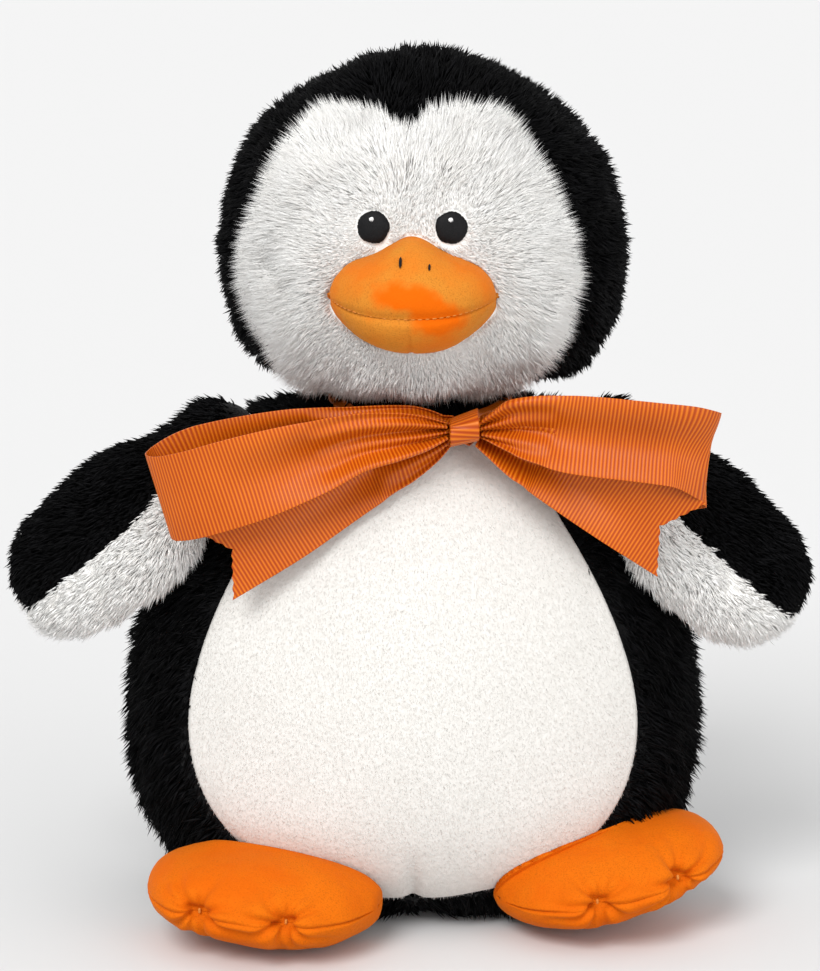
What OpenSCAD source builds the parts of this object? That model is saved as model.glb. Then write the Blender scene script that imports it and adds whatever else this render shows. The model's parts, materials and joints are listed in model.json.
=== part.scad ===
// Seated plush penguin: fur skins over stuffing, a soft beak, embroidered eyes
// and a grosgrain ribbon tied round the neck.
// Front is -Y, up is +Z. The origin is on the floor, at the middle of the footprint's box.

/* [Body] */
// Distance from the origin back to the body's upright axis
body_y = 20; // [15:0.5:25]
// Half of the body's width at its widest level
body_half_w = 121; // [114:1:124]
// Depth of the belly in front of the body's axis
body_front = 92; // [86:1:96]
// Depth of the back behind the body's axis
body_back = 80; // [76:1:84]
// Height of the body's widest level
body_widest_z = 88; // [82:1:94]
// Height of the body's open top, where the neck starts
body_top_z = 222; // [220:1:223]

/* [Belly panel] */
// Half of the belly panel's width at its widest level
belly_half_w = 98; // [90:1:102]
// Height of the panel's lowest point
belly_low_z = 16; // [12:1:20]
// Half of the panel's width at the body's top
belly_top_half_w = 34; // [28:1:38]

/* [Neck] */
// Height of the point that the head turns and nods about
neck_z = 226; // [225:0.5:227]
// Radius of the ball of stuffing that the head turns and nods on
neck_r = 31; // [26:0.5:32]

/* [Head] */
// Distance that the head leans to its left from the body's axis
head_x = 3.5; // [0:0.5:5]
// Distance from the origin back to the axis that the head turns about
head_y = 14; // [10:1:18]
// Angle that the head is turned at rest
head_yaw = -3; // [-5:1:5]
// Half of the head's width
head_half_w = 88; // [82:1:92]
// Depth of the face in front of the head's axis
head_front = 74; // [70:1:78]
// Depth of the head behind its axis
head_back = 76; // [72:1:80]
// Height of the head's widest level
head_widest_z = 293; // [290:1:296]
// Height of the top of the head
head_top_z = 384; // [380:1:388]
// Height of the flat underside of the head
head_low_z = 236; // [235:0.5:237]

/* [Face panel] */
// Half of the face panel's width at its widest level
face_half_w = 74; // [68:1:78]
// Height of the panel's top edge
face_top_z = 363; // [358:1:366]
// Height of the panel's widest level
face_widest_z = 282; // [278:1:288]

/* [Beak] */
// Half of the beak's width
beak_half_w = 35; // [32:1:38]
// Distance that the beak stands out of the face
beak_depth = 34; // [30:1:36]
// Height of the mouth seam
beak_z = 280; // [277:0.5:282]
// Height of the upper beak above the mouth seam
beak_rise = 30; // [27:1:33]
// Depth of the lower beak below the mouth seam
beak_drop = 20; // [16:1:22]

/* [Eyes] */
// Radius of an embroidered eye
eye_r = 6.4; // [6:0.2:7]
// Distance of each eye's centre from the middle of the face
eye_x = 16.25; // [15:0.25:18]
// Height of the eyes' centres
eye_z = 313.5; // [312.5:0.5:315]

/* [Wings] */
// Distance of each wing's pivot from the body's middle
wing_pivot_x = 84; // [84:0.5:86]
// Height of the wings' pivots
wing_pivot_z = 212; // [208:1:214]
// Distance of the wings' pivots behind the origin
wing_pivot_y = -8; // [-14:1:-6]
// Length of a wing from its pivot to its tip
wing_length = 114; // [108:1:118]
// Half of a wing's width across its flat face
wing_half_w = 35; // [31:1:36]
// Half of a wing's thickness
wing_half_t = 16; // [14:0.5:17]
// Angle of the wings below level
wing_droop = 40.5; // [36:0.5:46]
// Angle by which the right wing hangs lower than the left
wing_right_sag = 3; // [0:0.5:4]
// Angle by which a wing's lower edge leans forward
wing_lean = 35; // [30:1:42]
// Radius of the ball at a wing's root
wing_root_r = 18; // [16:0.5:19]

/* [Feet] */
// Half of a foot's width
foot_half_w = 51; // [47:1:54]
// Half of a foot's length
foot_half_l = 44; // [40:1:46]
// Half of a foot's height
foot_half_h = 20; // [18:0.5:21]

/* [Ribbon] */
// Width of the grosgrain ribbon
ribbon_w = 38; // [36:1:40]
// Thickness given to the ribbon's solids
ribbon_t = 1.2; // [1:0.1:1.6]

/* [Fabric] */
// Thickness of a fur skin, backing and packed pile together
fur_t = 2.6; // [2:0.1:3]
// Thickness of a short velour skin
velour_t = 1.8; // [1.4:0.1:2]

/* [Hidden] */

$fn = 48;
black = [0.05, 0.05, 0.06];
white = [0.93, 0.92, 0.9];
orange = [0.95, 0.5, 0.1];
ribbon_orange = [0.85, 0.38, 0.08];
fibre = [0.88, 0.88, 0.86];

// Clearance between pieces of two bodies
move_gap = 0.5;

// ---- Solids from grids of points ----

function flatten(rows) = [for (row = rows) each row];

// Triangles between neighbouring rows of a grid, seen from outside as OpenSCAD expects them
function grid_faces(rows, cols, first, reverse, wrap) = [
    for (i = [0 : rows - 2], j = [0 : cols - (wrap ? 1 : 2)])
        let (
            a = first + i * cols + j,
            b = first + i * cols + (j + 1) % cols,
            c = first + (i + 1) * cols + (j + 1) % cols,
            d = first + (i + 1) * cols + j
        )
        each reverse ? [[a, b, c], [a, c, d]] : [[a, c, b], [a, d, c]]
];

// Indices round the edge of a grid, once round
function rim_indices(rows, cols) = concat(
    [for (j = [0 : cols - 1]) j],
    [for (i = [1 : rows - 1]) i * cols + cols - 1],
    [for (j = [cols - 2 : -1 : 0]) (rows - 1) * cols + j],
    [for (i = [rows - 2 : -1 : 1]) i * cols]
);

// A skin between two grids of the same size. The outer one's rows run up and its columns anticlockwise.
module skin(outer, inner) {
    rows = len(outer);
    cols = len(outer[0]);
    count = rows * cols;
    rim = rim_indices(rows, cols);
    edge = len(rim);
    polyhedron(
        points = concat(flatten(outer), flatten(inner)),
        faces = concat(
            grid_faces(rows, cols, 0, false, false),
            grid_faces(rows, cols, count, true, false),
            [for (k = [0 : edge - 1])
                let (p = rim[k], q = rim[(k + 1) % edge])
                each [[p, q, q + count], [p, q + count, p + count]]]
        )
    );
}

// A closed solid from rings of points that run anticlockwise, from the lowest ring to the highest
module rings_solid(rings) {
    rows = len(rings);
    cols = len(rings[0]);
    polyhedron(
        points = flatten(rings),
        faces = concat(
            grid_faces(rows, cols, 0, false, true),
            [[for (j = [0 : cols - 1]) j]],
            [[for (j = [cols - 1 : -1 : 0]) (rows - 1) * cols + j]]
        )
    );
}

function mix(a, b, f) = a + (b - a) * f;

// Height of a rounded end, from 1 in the middle to 0 at the distance reach, squarer as power grows
function rounded(distance, reach, power) =
    pow(max(0, 1 - pow(min(1, abs(distance) / reach), power)), 1 / power);

// Catmull-Rom curve through a list of points, k being counted in points
function curve_at(points, k) =
    let (
        last = len(points) - 1,
        i = min(floor(k), last - 1),
        f = k - i,
        p0 = points[max(i - 1, 0)],
        p1 = points[i],
        p2 = points[i + 1],
        p3 = points[min(i + 2, last)]
    )
    0.5 * (2 * p1 + (p2 - p0) * f + (2 * p0 - 5 * p1 + 4 * p2 - p3) * f * f
        + (3 * p1 - p0 - 3 * p2 + p3) * f * f * f);

// ---- Body ----

body_bottom_reach = body_widest_z + 4;
body_top_reach = 70 + body_widest_z;

function body_size(z) = z < body_widest_z
    ? rounded(body_widest_z - z, body_bottom_reach, 3)
    : rounded(z - body_widest_z, body_top_reach, 1.8);

// The belly keeps its depth towards the chest, and curves in more under the seat
function body_front_depth(z) = body_front * pow(body_size(z), z < body_widest_z ? 1.5 : 0.8);

// A point on the body at an angle from the front's middle, inset from the outer face
function body_point(angle, z, inset) =
    let (
        depth = cos(angle) > 0 ? body_front_depth(z) : body_back * body_size(z)
    )
    [(body_half_w * body_size(z) - inset) * sin(angle), body_y - (depth - inset) * cos(angle), z];

// Half of the belly panel's width at a height, rounded at its lower end
belly_widest_z = 92;
function belly_half(z) = z < belly_widest_z
    ? belly_half_w * rounded(belly_widest_z - z, belly_widest_z - belly_low_z + 0.01, 2.2)
    : mix(belly_half_w, belly_top_half_w, pow((z - belly_widest_z) / (body_top_z - belly_widest_z), 1.7));

// The angle of the belly seam at a height
function belly_angle(z) = asin(min(0.98, belly_half(z) / (body_half_w * body_size(z))));

// Levels of the body's rows of points, closer where the belly panel's lower end curves
body_zs = concat(
    [0, 3, 7],
    [for (rise = [0, 1.5, 5, 11, 20, 32]) belly_low_z + rise],
    [for (f = [0 : 0.125 : 1]) mix(belly_low_z + 48, body_top_z, f)]
);
belly_zs = [for (z = body_zs) if (z >= belly_low_z) z];
floor_hole_r = 3;
seam_half_angle = 0.15;

// Black fur on one side, from the belly seam round to the middle of the back. side is -1 for the left.
module body_fur(side) {
    cols = 14;
    function fur_point(j, z, inset) =
        let (
            front = z < belly_low_z ? 0 : belly_angle(z),
            spot = body_point(mix(front + seam_half_angle, 180 - seam_half_angle, j / cols), z, inset)
        )
        [spot.x, spot.y, max(z, inset + z / 20)];
    function hole_point(j, inset) =
        let (angle = mix(3, 177, j / cols))
        [floor_hole_r * sin(angle), body_y - floor_hole_r * cos(angle), inset];
    function sheet(inset) = concat(
        [[for (j = [0 : cols]) hole_point(j, inset)]],
        [for (z = body_zs) [for (j = [0 : cols]) fur_point(j, z, inset)]]
    );
    color(black) mirror([side < 0 ? 1 : 0, 0, 0]) difference() {
        skin(sheet(0), sheet(fur_t));
        wing_socket(0);
    }
}

// The hollow in the body's right side that a wing's root turns in
wing_socket_clear = 7.5;
module wing_socket(grow) {
    translate([wing_pivot_x, wing_pivot_y, wing_pivot_z]) sphere(r = wing_root_r + wing_socket_clear + grow);
}

// Smooth white fabric on the front
module belly_panel() {
    cols = 18;
    function panel_point(j, z, inset) =
        body_point(mix(-1, 1, j / cols) * max(belly_angle(z) - seam_half_angle, 1), z, inset);
    function sheet(inset) = [for (z = belly_zs) [for (j = [0 : cols]) panel_point(j, z, inset)]];
    color(white) skin(sheet(0), sheet(fur_t));
}

// A closed solid inside the body's skins, between two levels
module body_core(inset, low, high) {
    cols = 28;
    rows = 12;
    rings_solid([
        for (i = [0 : rows]) [
            for (j = [0 : cols - 1])
                body_point(360 * j / cols, mix(low, high, (1 - cos(180 * i / rows)) / 2), inset)
        ]
    ]);
}

pellet_bag_r = 50;
pellet_bag_h = 30;
pellet_bag_low = fur_t + 6;
pellet_bag_edge = 14;

// A flat round cushion, grown all round by a distance
module pellet_bag_shape(grow) {
    edge = pellet_bag_edge + grow;
    flat_r = pellet_bag_r - pellet_bag_edge;
    translate([0, body_y, pellet_bag_low - grow]) {
        cylinder(r = flat_r, h = pellet_bag_h + 2 * grow);
        for (z = [edge, pellet_bag_h + 2 * grow - edge])
            translate([0, 0, z]) rotate_extrude() translate([flat_r, 0]) circle(r = edge);
    }
}

// The seat's bag of pellets, which makes the toy sit
module pellet_bag() {
    color([0.8, 0.78, 0.72]) pellet_bag_shape(0);
}

module neck_ball(r) {
    translate([head_x, head_y, neck_z]) sphere(r = r);
}

module body_stuffing() {
    clear = fur_t + 1.4;
    color(fibre) difference() {
        body_core(clear, clear + 2, body_top_z - 0.5);
        neck_ball(neck_r + move_gap);
        pellet_bag_shape(0.3);
        wing_socket(0.5);
        mirror([1, 0, 0]) wing_socket(0.5);
    }
}

// Hand-sewn stitches over the closed gap in the back's seam
stitch_count = 9;
stitch_low_z = 46;
stitch_pitch = 7;
stitch_r = 0.5;
module closing_stitches() {
    color(black) for (i = [0 : stitch_count - 1])
        translate(body_point(180, stitch_low_z + i * stitch_pitch, -1.5))
            rotate([0, 90, 0]) cylinder(r = stitch_r, h = 5, center = true);
}

// ---- Neck and head ----

// The ball of stuffing in the neck, cut flat where the head turns on it
module neck_stuffing() {
    color(fibre) intersection() {
        neck_ball(neck_r);
        translate([head_x - neck_r, head_y - neck_r, neck_z - neck_r])
            cube([2 * neck_r, 2 * neck_r, neck_r + head_low_z - neck_z - move_gap]);
    }
}

module place_head() {
    translate([head_x, head_y, 0]) rotate([0, 0, head_yaw]) children();
}

head_upper_reach = head_top_z - head_widest_z;
head_lower_reach = 86;
head_underside_size = 0.48;
head_underside_slope = 0.045;

function head_size(z) = z < head_widest_z
    ? min(
        rounded(head_widest_z - z, head_lower_reach, 2),
        head_underside_size + (z - head_low_z) * head_underside_slope
    )
    : rounded(z - head_widest_z, head_upper_reach, 2);

// A point on the head about its own axis, inset from the outer face
function head_point(angle, z, inset) =
    let (size = head_size(z), depth = cos(angle) > 0 ? head_front : head_back)
    [(head_half_w * size - inset) * sin(angle), -(depth * size - inset) * cos(angle), z];

// How far in front of the head's axis the face is, at a place on it
function face_depth(x, z) =
    head_front * head_size(z) * sqrt(max(0, 1 - pow(x / (head_half_w * head_size(z)), 2)));

function face_half(z) = z > face_widest_z
    ? face_half_w * rounded(z - face_widest_z, face_top_z - face_widest_z + 0.01, 2.5)
        * (1 - 0.16 * (z - face_widest_z) / (face_top_z - face_widest_z))
    : face_half_w * rounded(face_widest_z - z, 70, 2.3);

function face_angle(z) = asin(min(0.985, face_half(z) / (head_half_w * head_size(z))));

crown_z = head_top_z - 0.6;
head_zs = concat(
    [head_low_z, head_low_z + 3],
    [for (f = [0.12, 0.3, 0.5, 0.75, 1]) mix(head_low_z, head_widest_z, f)],
    [for (f = [0.3, 0.55, 0.75]) mix(head_widest_z, face_top_z, f)],
    [for (drop = [9, 4, 1.2, 0]) face_top_z - drop],
    [for (f = [0.35, 0.65, 0.85, 1]) mix(face_top_z, crown_z, f)]
);
face_zs = [for (z = head_zs) if (z <= face_top_z) z];

// Black fur on one half of the head, from the face seam round to the middle of the back
module hood(side) {
    cols = 12;
    // Towards the crown the inner face keeps its distance by lying lower
    function lift(z, inset) = z > face_top_z ? z - inset * (z - face_top_z) / (crown_z - face_top_z) : z;
    function hood_point(j, z, inset) =
        let (
            front = z < face_top_z ? face_angle(z) : 0,
            spot = head_point(mix(front + 0.2, 179.8, j / cols), z, min(inset, head_half_w * head_size(z) / 3))
        )
        [spot.x, spot.y, lift(z, inset)];
    function sheet(inset) = [for (z = head_zs) [for (j = [0 : cols]) hood_point(j, z, inset)]];
    color(black) place_head() mirror([side < 0 ? 1 : 0, 0, 0]) skin(sheet(0), sheet(fur_t));
}

// Long white fur over the face
module face_panel() {
    cols = 16;
    function panel_point(j, z, inset) =
        head_point(mix(-1, 1, j / cols) * max(face_angle(z) - 0.2, 1), z, inset);
    function sheet(inset) = [for (z = face_zs) [for (j = [0 : cols]) panel_point(j, z, inset)]];
    color(white) place_head() skin(sheet(0), sheet(fur_t));
}

// The stuffing keeps clear of the skins all round, and lies lower under the crown
module head_stuffing() {
    cols = 28;
    rows = 12;
    clear = fur_t + 2;
    function stuffing_point(angle, z) =
        let (spot = head_point(angle, z, clear))
        [spot.x, spot.y, z - clear * max(0, z - head_widest_z) / head_upper_reach];
    color(fibre) place_head() rings_solid([
        for (i = [0 : rows]) [
            for (j = [0 : cols - 1])
                stuffing_point(360 * j / cols, mix(head_low_z, crown_z - clear, (1 - cos(180 * i / rows)) / 2))
        ]
    ]);
}

// ---- Beak ----

beak_gap = 0.5;
corner_angle = 8;

// A point on the beak. across runs from one corner at 0 to the other at 180, and up from the lip at 0
// to the face at 90. rise is negative for the lower beak.
function beak_point(across, up, rise, inset) =
    let (
        x = -(beak_half_w - inset) * cos(across),
        z = (rise - sign(rise) * inset) * pow(sin(across), 1.2) * sin(up),
        out = (beak_depth - inset) * sin(across) * cos(up)
    )
    [x, -face_depth(x, beak_z + z) - 0.5 - out, beak_z + z + sign(rise) * beak_gap];

module beak_shell(rise) {
    cols = 14;
    rows = 7;
    function sheet(inset) = [
        for (i = [0 : rows]) [
            for (j = [0 : cols])
                beak_point(mix(corner_angle, 180 - corner_angle, j / cols), 90 * i / rows, rise, inset)
        ]
    ];
    color(orange) place_head() skin(sheet(rise < 0 ? velour_t : 0), sheet(rise < 0 ? 0 : velour_t));
}

// Stuffing inside the beak, from its back along the face to just behind its shell
module beak_stuffing() {
    cols = 10;
    rows = 6;
    inset = velour_t + 0.5;
    function back_point(across, f) =
        let (
            bottom = beak_point(across, 90, -beak_drop, inset),
            top = beak_point(across, 90, beak_rise, inset),
            z = mix(bottom.z, top.z, f)
        )
        [top.x, -face_depth(top.x, z) - 0.8, z];
    function section(across) = concat(
        [for (k = [0 : rows - 1]) beak_point(across, 90 * k / rows, -beak_drop, inset)],
        [for (k = [0 : rows]) back_point(across, k / rows)],
        [for (k = [1 : rows]) beak_point(across, 90 - 90 * k / rows, beak_rise, inset)]
    );
    color(fibre) place_head() rings_solid([for (i = [0 : cols]) section(mix(164, 16, i / cols))]);
}

// A thread swept along a list of points
module thread(points, r) {
    sides = 6;
    last = len(points) - 1;
    function ring(i) =
        let (
            along = points[min(i + 1, last)] - points[max(i - 1, 0)],
            a = along / norm(along),
            side = cross([0, 0.3, 1], a),
            s = side / norm(side),
            u = cross(a, s)
        )
        [for (k = [0 : sides - 1]) points[i] + r * (cos(360 * k / sides) * s + sin(360 * k / sides) * u)];
    rings_solid([for (i = [0 : last]) ring(i)]);
}

module mouth_seam() {
    thread_r = 0.7;
    color([0.75, 0.33, 0.05]) place_head() thread([
        for (across = [14 : 8 : 166])
            let (spot = beak_point(across, 0, 1, -thread_r - 0.4)) [spot.x, spot.y, beak_z]
    ], thread_r);
}

// Two short upright stitches on the upper beak, each with its distance from the middle and its length
module nostril_stitches() {
    r = 0.6;
    lift = r + 0.45;
    for (stitch = [[-3.4, 4.4], [8.6, 2.8]]) {
        across = acos(-stitch[0] / beak_half_w);
        spot = beak_point(across, 50, beak_rise, -lift);
        above = beak_point(across, 60, beak_rise, -lift);
        color([0.1, 0.08, 0.07]) place_head() translate(spot)
            rotate([-atan2(above.y - spot.y, above.z - spot.z), 0, 0]) {
                cylinder(r = r, h = stitch[1], center = true);
                for (end = [-1, 1])
                    translate([0, 0, end * stitch[1] / 2]) sphere(r = r);
            }
    }
}

// ---- Eyes ----

eye_t = 1.6;
eye_lift = 0.35;

// Puts something on the face, with +Z of its own frame pointing out of the face
module on_face(x, z, lift) {
    dx = (face_depth(x + 1, z) - face_depth(x - 1, z)) / 2;
    dz = (face_depth(x, z + 1) - face_depth(x, z - 1)) / 2;
    out = [-dx, -1, -dz];
    spot = [x, -face_depth(x, z), z] + out / norm(out) * lift;
    place_head() translate(spot)
        rotate([0, 0, atan2(out.x, -out.y)]) rotate([90 - atan2(out.z, norm([out.x, out.y])), 0, 0]) children();
}

module eye(side) {
    rim = 0.5;
    color(black) on_face(side * eye_x, eye_z, eye_lift) rotate_extrude() {
        square([eye_r, eye_t - rim]);
        square([eye_r - rim, eye_t]);
        translate([eye_r - rim, eye_t - rim]) circle(r = rim);
    }
}

module eye_highlights() {
    highlight_r = 1.1;
    color(white) for (side = [-1, 1])
        on_face(side * eye_x, eye_z + 3.4, eye_lift + eye_t + 0.3) cylinder(r = highlight_r, h = 0.5);
}

// ---- Wings, modelled on the right and mirrored to the left ----

wing_along = [cos(wing_droop), 0, -sin(wing_droop)];
wing_down = [-sin(wing_droop) * cos(wing_lean), -sin(wing_lean), -cos(wing_droop) * cos(wing_lean)];
wing_back = cross(wing_along, wing_down);

function wing_swell(x) = pow(sin(90 * min(1, x / (wing_length / 2))), 2);
function wing_tip(x) = rounded(max(0, x - 0.6 * wing_length), 0.4 * wing_length, 2.3);
function wing_size(x, widest) = x < 0
    ? sqrt(wing_root_r * wing_root_r - x * x)
    : mix(wing_root_r, widest, wing_swell(x)) * wing_tip(x);

module place_wing(side) {
    mirror([side < 0 ? 1 : 0, 0, 0]) translate([wing_pivot_x, wing_pivot_y, wing_pivot_z])
        rotate([0, side > 0 ? wing_right_sag : 0, 0]) children();
}

// A point on the right wing about its pivot, at a distance along it. angle is 0 at the lower edge, 90 on the
// side next to the body and 180 at the upper edge.
function wing_point(x, angle, inset) =
    let (
        end_inset = x < 0 ? inset * -x / wing_root_r : -inset * x / wing_length,
        width = wing_size(x, wing_half_w) - inset,
        thick = wing_size(x, wing_half_t) - inset
    )
    (x + end_inset) * wing_along
        + max(0.3, width) * cos(angle) * wing_down + max(0.3, thick) * sin(angle) * wing_back;

wing_xs = concat(
    [for (f = [0.985, 0.85, 0.5, 0]) -f * wing_root_r],
    [for (f = [0.12, 0.25, 0.4, 0.55, 0.7, 0.82, 0.91, 0.97, 0.997]) f * wing_length]
);
// The seam between black and white fur runs along the upper edge and in front of the lower edge
wing_upper_seam = 178;
wing_lower_seam = -40;

module wing_skin(side, from, to) {
    cols = 10;
    function sheet(inset) = [
        for (x = wing_xs) [for (j = [0 : cols]) wing_point(x, mix(from + 0.6, to - 0.6, j / cols), inset)]
    ];
    place_wing(side) skin(sheet(0), sheet(fur_t));
}

module wing_outer(side) {
    color(black) wing_skin(side, wing_upper_seam, wing_lower_seam + 360);
}

module wing_inner(side) {
    color(white) wing_skin(side, wing_lower_seam, wing_upper_seam);
}

module wing_stuffing(side) {
    cols = 16;
    color(fibre) place_wing(side) rings_solid([
        for (x = wing_xs) if (x > -0.9 * wing_root_r && x < 0.95 * wing_length)
            [for (j = [0 : cols - 1]) wing_point(x, 360 * j / cols, fur_t + 0.4)]
    ]);
}

// ---- Feet ----

// Each foot's place: its side, the middle of its back edge across and behind, its turn outward and its
// outer side's lift
left_foot = [-1, -62, -46, -13, 3];
right_foot = [1, 81, -24, 20, 10];
foot_centre = 10;
foot_clear = 1.6;

// The body's front at a place, where the feet stop short of it
function body_front_y(x, z) =
    body_y - body_front_depth(z) * sqrt(max(0, 1 - pow(x / (body_half_w * body_size(z)), 2)));

// A point on a foot. across runs from its left side at 0 to its right at 180, and up goes from the front
// seam at 0 over the top to the back at 180, or under the sole from 0 to -180.
function foot_point(foot, across, up, inset) =
    let (
        swell = pow(sin(across), 0.8),
        u = -(foot_half_w - inset) * cos(across),
        l = max(inset, foot_centre + (foot_half_l - inset) * swell * cos(up)),
        h = (foot_half_h - inset) * swell * sin(up) + foot_half_h,
        tip = foot[0] * foot[4],
        raised = h * cos(tip) + (u * foot[0] + foot_half_w * 0.7) * sin(abs(tip)),
        x = foot[1] + (u * cos(tip)) * cos(foot[3]) + l * sin(foot[3]),
        y = foot[2] + (u * cos(tip)) * sin(foot[3]) - l * cos(foot[3]),
        z = max(raised, inset)
    )
    [x, min(y, body_front_y(x, z) - foot_clear - inset), z];

module foot_shell(foot, sole) {
    cols = 14;
    rows = 9;
    function sheet(inset) = [
        for (i = [0 : rows]) [
            for (j = [0 : cols])
                let (up = mix(1.5, 178, i / rows))
                foot_point(foot, mix(corner_angle, 180 - corner_angle, j / cols), sole ? -up : up, inset)
        ]
    ];
    color(orange) skin(sheet(sole ? velour_t : 0), sheet(sole ? 0 : velour_t));
}

module foot_stuffing(foot) {
    cols = 10;
    rows = 14;
    color(fibre) rings_solid([
        for (i = [0 : cols]) [
            for (j = [0 : rows - 1])
                foot_point(foot, mix(162, 18, i / cols), 360 * j / rows, velour_t + 1.8)
        ]
    ]);
}

// Threads pulled tight over the front seam, which draw in the gaps between three toes
toe_gap_angles = [68, 112];
module foot_gathers(foot) {
    color([0.8, 0.4, 0.08]) for (across = toe_gap_angles)
        thread([for (up = [-24 : 8 : 32]) foot_point(foot, across, up, -1)], 0.6);
}

// ---- Ribbon ----

// A strip of ribbon along points of [x, y, z, half of its width there], facing the front where it runs
// to the right
module ribbon_strip(points, steps) {
    last = (len(points) - 1) * steps;
    spots = [for (k = [0 : last]) curve_at(points, k / steps)];
    function place(k) = [for (axis = [0 : 2]) spots[k][axis]];
    function along(k) = let (a = place(min(k + 1, last)) - place(max(k - 1, 0))) a / norm(a);
    function across(k) = let (w = [0, 0, 1] - along(k).z * along(k)) w / norm(w);
    function sheet(side) = [
        for (v = [-1 : 0.5 : 1]) [
            for (k = [0 : last])
                place(k) + v * spots[k][3] * across(k) + side * ribbon_t / 2 * cross(along(k), across(k))
        ]
    ];
    color(ribbon_orange) skin(sheet(1), sheet(-1));
}

knot = [21.5, -47, 224];
knot_r = 6.5;
knot_w = 13;
gathered = 4.5;
full = ribbon_w / 2;

module ribbon_loop_left() {
    ribbon_strip([
        [12, -53, 224, gathered], [-26, -61, 218, 12], [-58, -65, 208, 17], [-88, -63, 198, full],
        [-106, -57, 194, full], [-113, -50, 193, full], [-105, -44, 196, full], [-86, -44, 202, full],
        [-55, -46, 212, 17], [-26, -46, 220, 12], [12, -42, 225, gathered]
    ], 2);
}

module ribbon_loop_right() {
    ribbon_strip([
        [31, -42, 225, gathered], [62, -44, 224, 14], [92, -43, 219, 18], [118, -43, 213, full],
        [131, -49, 210, full], [121, -57, 213, full], [92, -62, 219, 18], [62, -60, 221, 14],
        [31, -53, 224, gathered]
    ], 2);
}

module ribbon_tail_left() {
    ribbon_strip([[-84, -58, 167, 16], [-48, -60, 184, 15], [-16, -55, 202, 10], [13, -49, 212, gathered]], 4);
}

module ribbon_tail_right() {
    ribbon_strip([[30, -49, 212, gathered], [56, -54, 203, 10], [84, -57, 188, 16], [110, -57, 175, 16]], 4);
}

module ribbon_knot() {
    corner = 2.5;
    color(ribbon_orange) translate(knot) rotate([0, 90, 0]) rotate_extrude() {
        translate([0, -knot_w / 2]) square([knot_r - corner, knot_w]);
        translate([0, -knot_w / 2 + corner]) square([knot_r, knot_w - 2 * corner]);
        for (end = [-1, 1])
            translate([knot_r - corner, end * (knot_w / 2 - corner)]) circle(r = corner);
    }
}

// The ribbon's turn round the neck, gathered into a narrow band
module ribbon_neck_band() {
    band_t = 4;
    low = body_top_z + 0.4;
    color(ribbon_orange) translate([head_x, head_y, low]) rotate_extrude()
        translate([neck_r + 1, 0]) square([band_t, neck_z + 2 - low]);
}

body_fur(-1);  // body_fur_left
body_fur(1);  // body_fur_right
belly_panel();
body_stuffing();
pellet_bag();
closing_stitches();
neck_stuffing();
hood(-1);  // hood_left
hood(1);  // hood_right
face_panel();
head_stuffing();
beak_shell(beak_rise);  // beak_top
beak_shell(-beak_drop);  // beak_bottom
beak_stuffing();
mouth_seam();
nostril_stitches();
eye(-1);  // eye_left
eye(1);  // eye_right
eye_highlights();
wing_outer(-1);  // wing_left_outer
wing_inner(-1);  // wing_left_inner
wing_stuffing(-1);  // wing_left_stuffing
wing_outer(1);  // wing_right_outer
wing_inner(1);  // wing_right_inner
wing_stuffing(1);  // wing_right_stuffing
foot_shell(left_foot, false);  // foot_left_top
foot_shell(left_foot, true);  // foot_left_sole
foot_stuffing(left_foot);  // foot_left_stuffing
foot_gathers(left_foot);  // foot_left_gathers
foot_shell(right_foot, false);  // foot_right_top
foot_shell(right_foot, true);  // foot_right_sole
foot_stuffing(right_foot);  // foot_right_stuffing
foot_gathers(right_foot);  // foot_right_gathers
ribbon_neck_band();
ribbon_knot();
ribbon_loop_left();
ribbon_loop_right();
ribbon_tail_left();
ribbon_tail_right();
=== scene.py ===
"""Seated plush penguin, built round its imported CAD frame. Lengths are in millimetres until a mesh is made.

Front is -Y and up is +Z. "left" and "right" are the viewer's, so left has negative X.
"""

import json
import math

import bpy
import numpy as np
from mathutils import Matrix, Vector


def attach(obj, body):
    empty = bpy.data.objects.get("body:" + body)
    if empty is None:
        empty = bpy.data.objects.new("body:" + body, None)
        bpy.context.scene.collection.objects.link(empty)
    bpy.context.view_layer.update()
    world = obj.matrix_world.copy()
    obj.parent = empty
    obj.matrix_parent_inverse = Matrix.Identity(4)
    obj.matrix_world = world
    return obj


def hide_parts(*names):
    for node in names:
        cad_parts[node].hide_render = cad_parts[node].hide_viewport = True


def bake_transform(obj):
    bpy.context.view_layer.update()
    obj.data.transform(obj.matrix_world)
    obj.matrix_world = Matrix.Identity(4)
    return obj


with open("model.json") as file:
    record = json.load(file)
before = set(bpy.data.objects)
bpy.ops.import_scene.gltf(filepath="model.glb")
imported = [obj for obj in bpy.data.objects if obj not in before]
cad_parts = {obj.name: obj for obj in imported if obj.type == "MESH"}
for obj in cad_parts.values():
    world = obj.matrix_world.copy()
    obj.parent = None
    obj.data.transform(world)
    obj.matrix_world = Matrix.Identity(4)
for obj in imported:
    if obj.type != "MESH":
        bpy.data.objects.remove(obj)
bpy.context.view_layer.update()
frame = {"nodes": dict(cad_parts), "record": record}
MM = 0.001

# ---- Numbers shared with the CAD part ----

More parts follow.
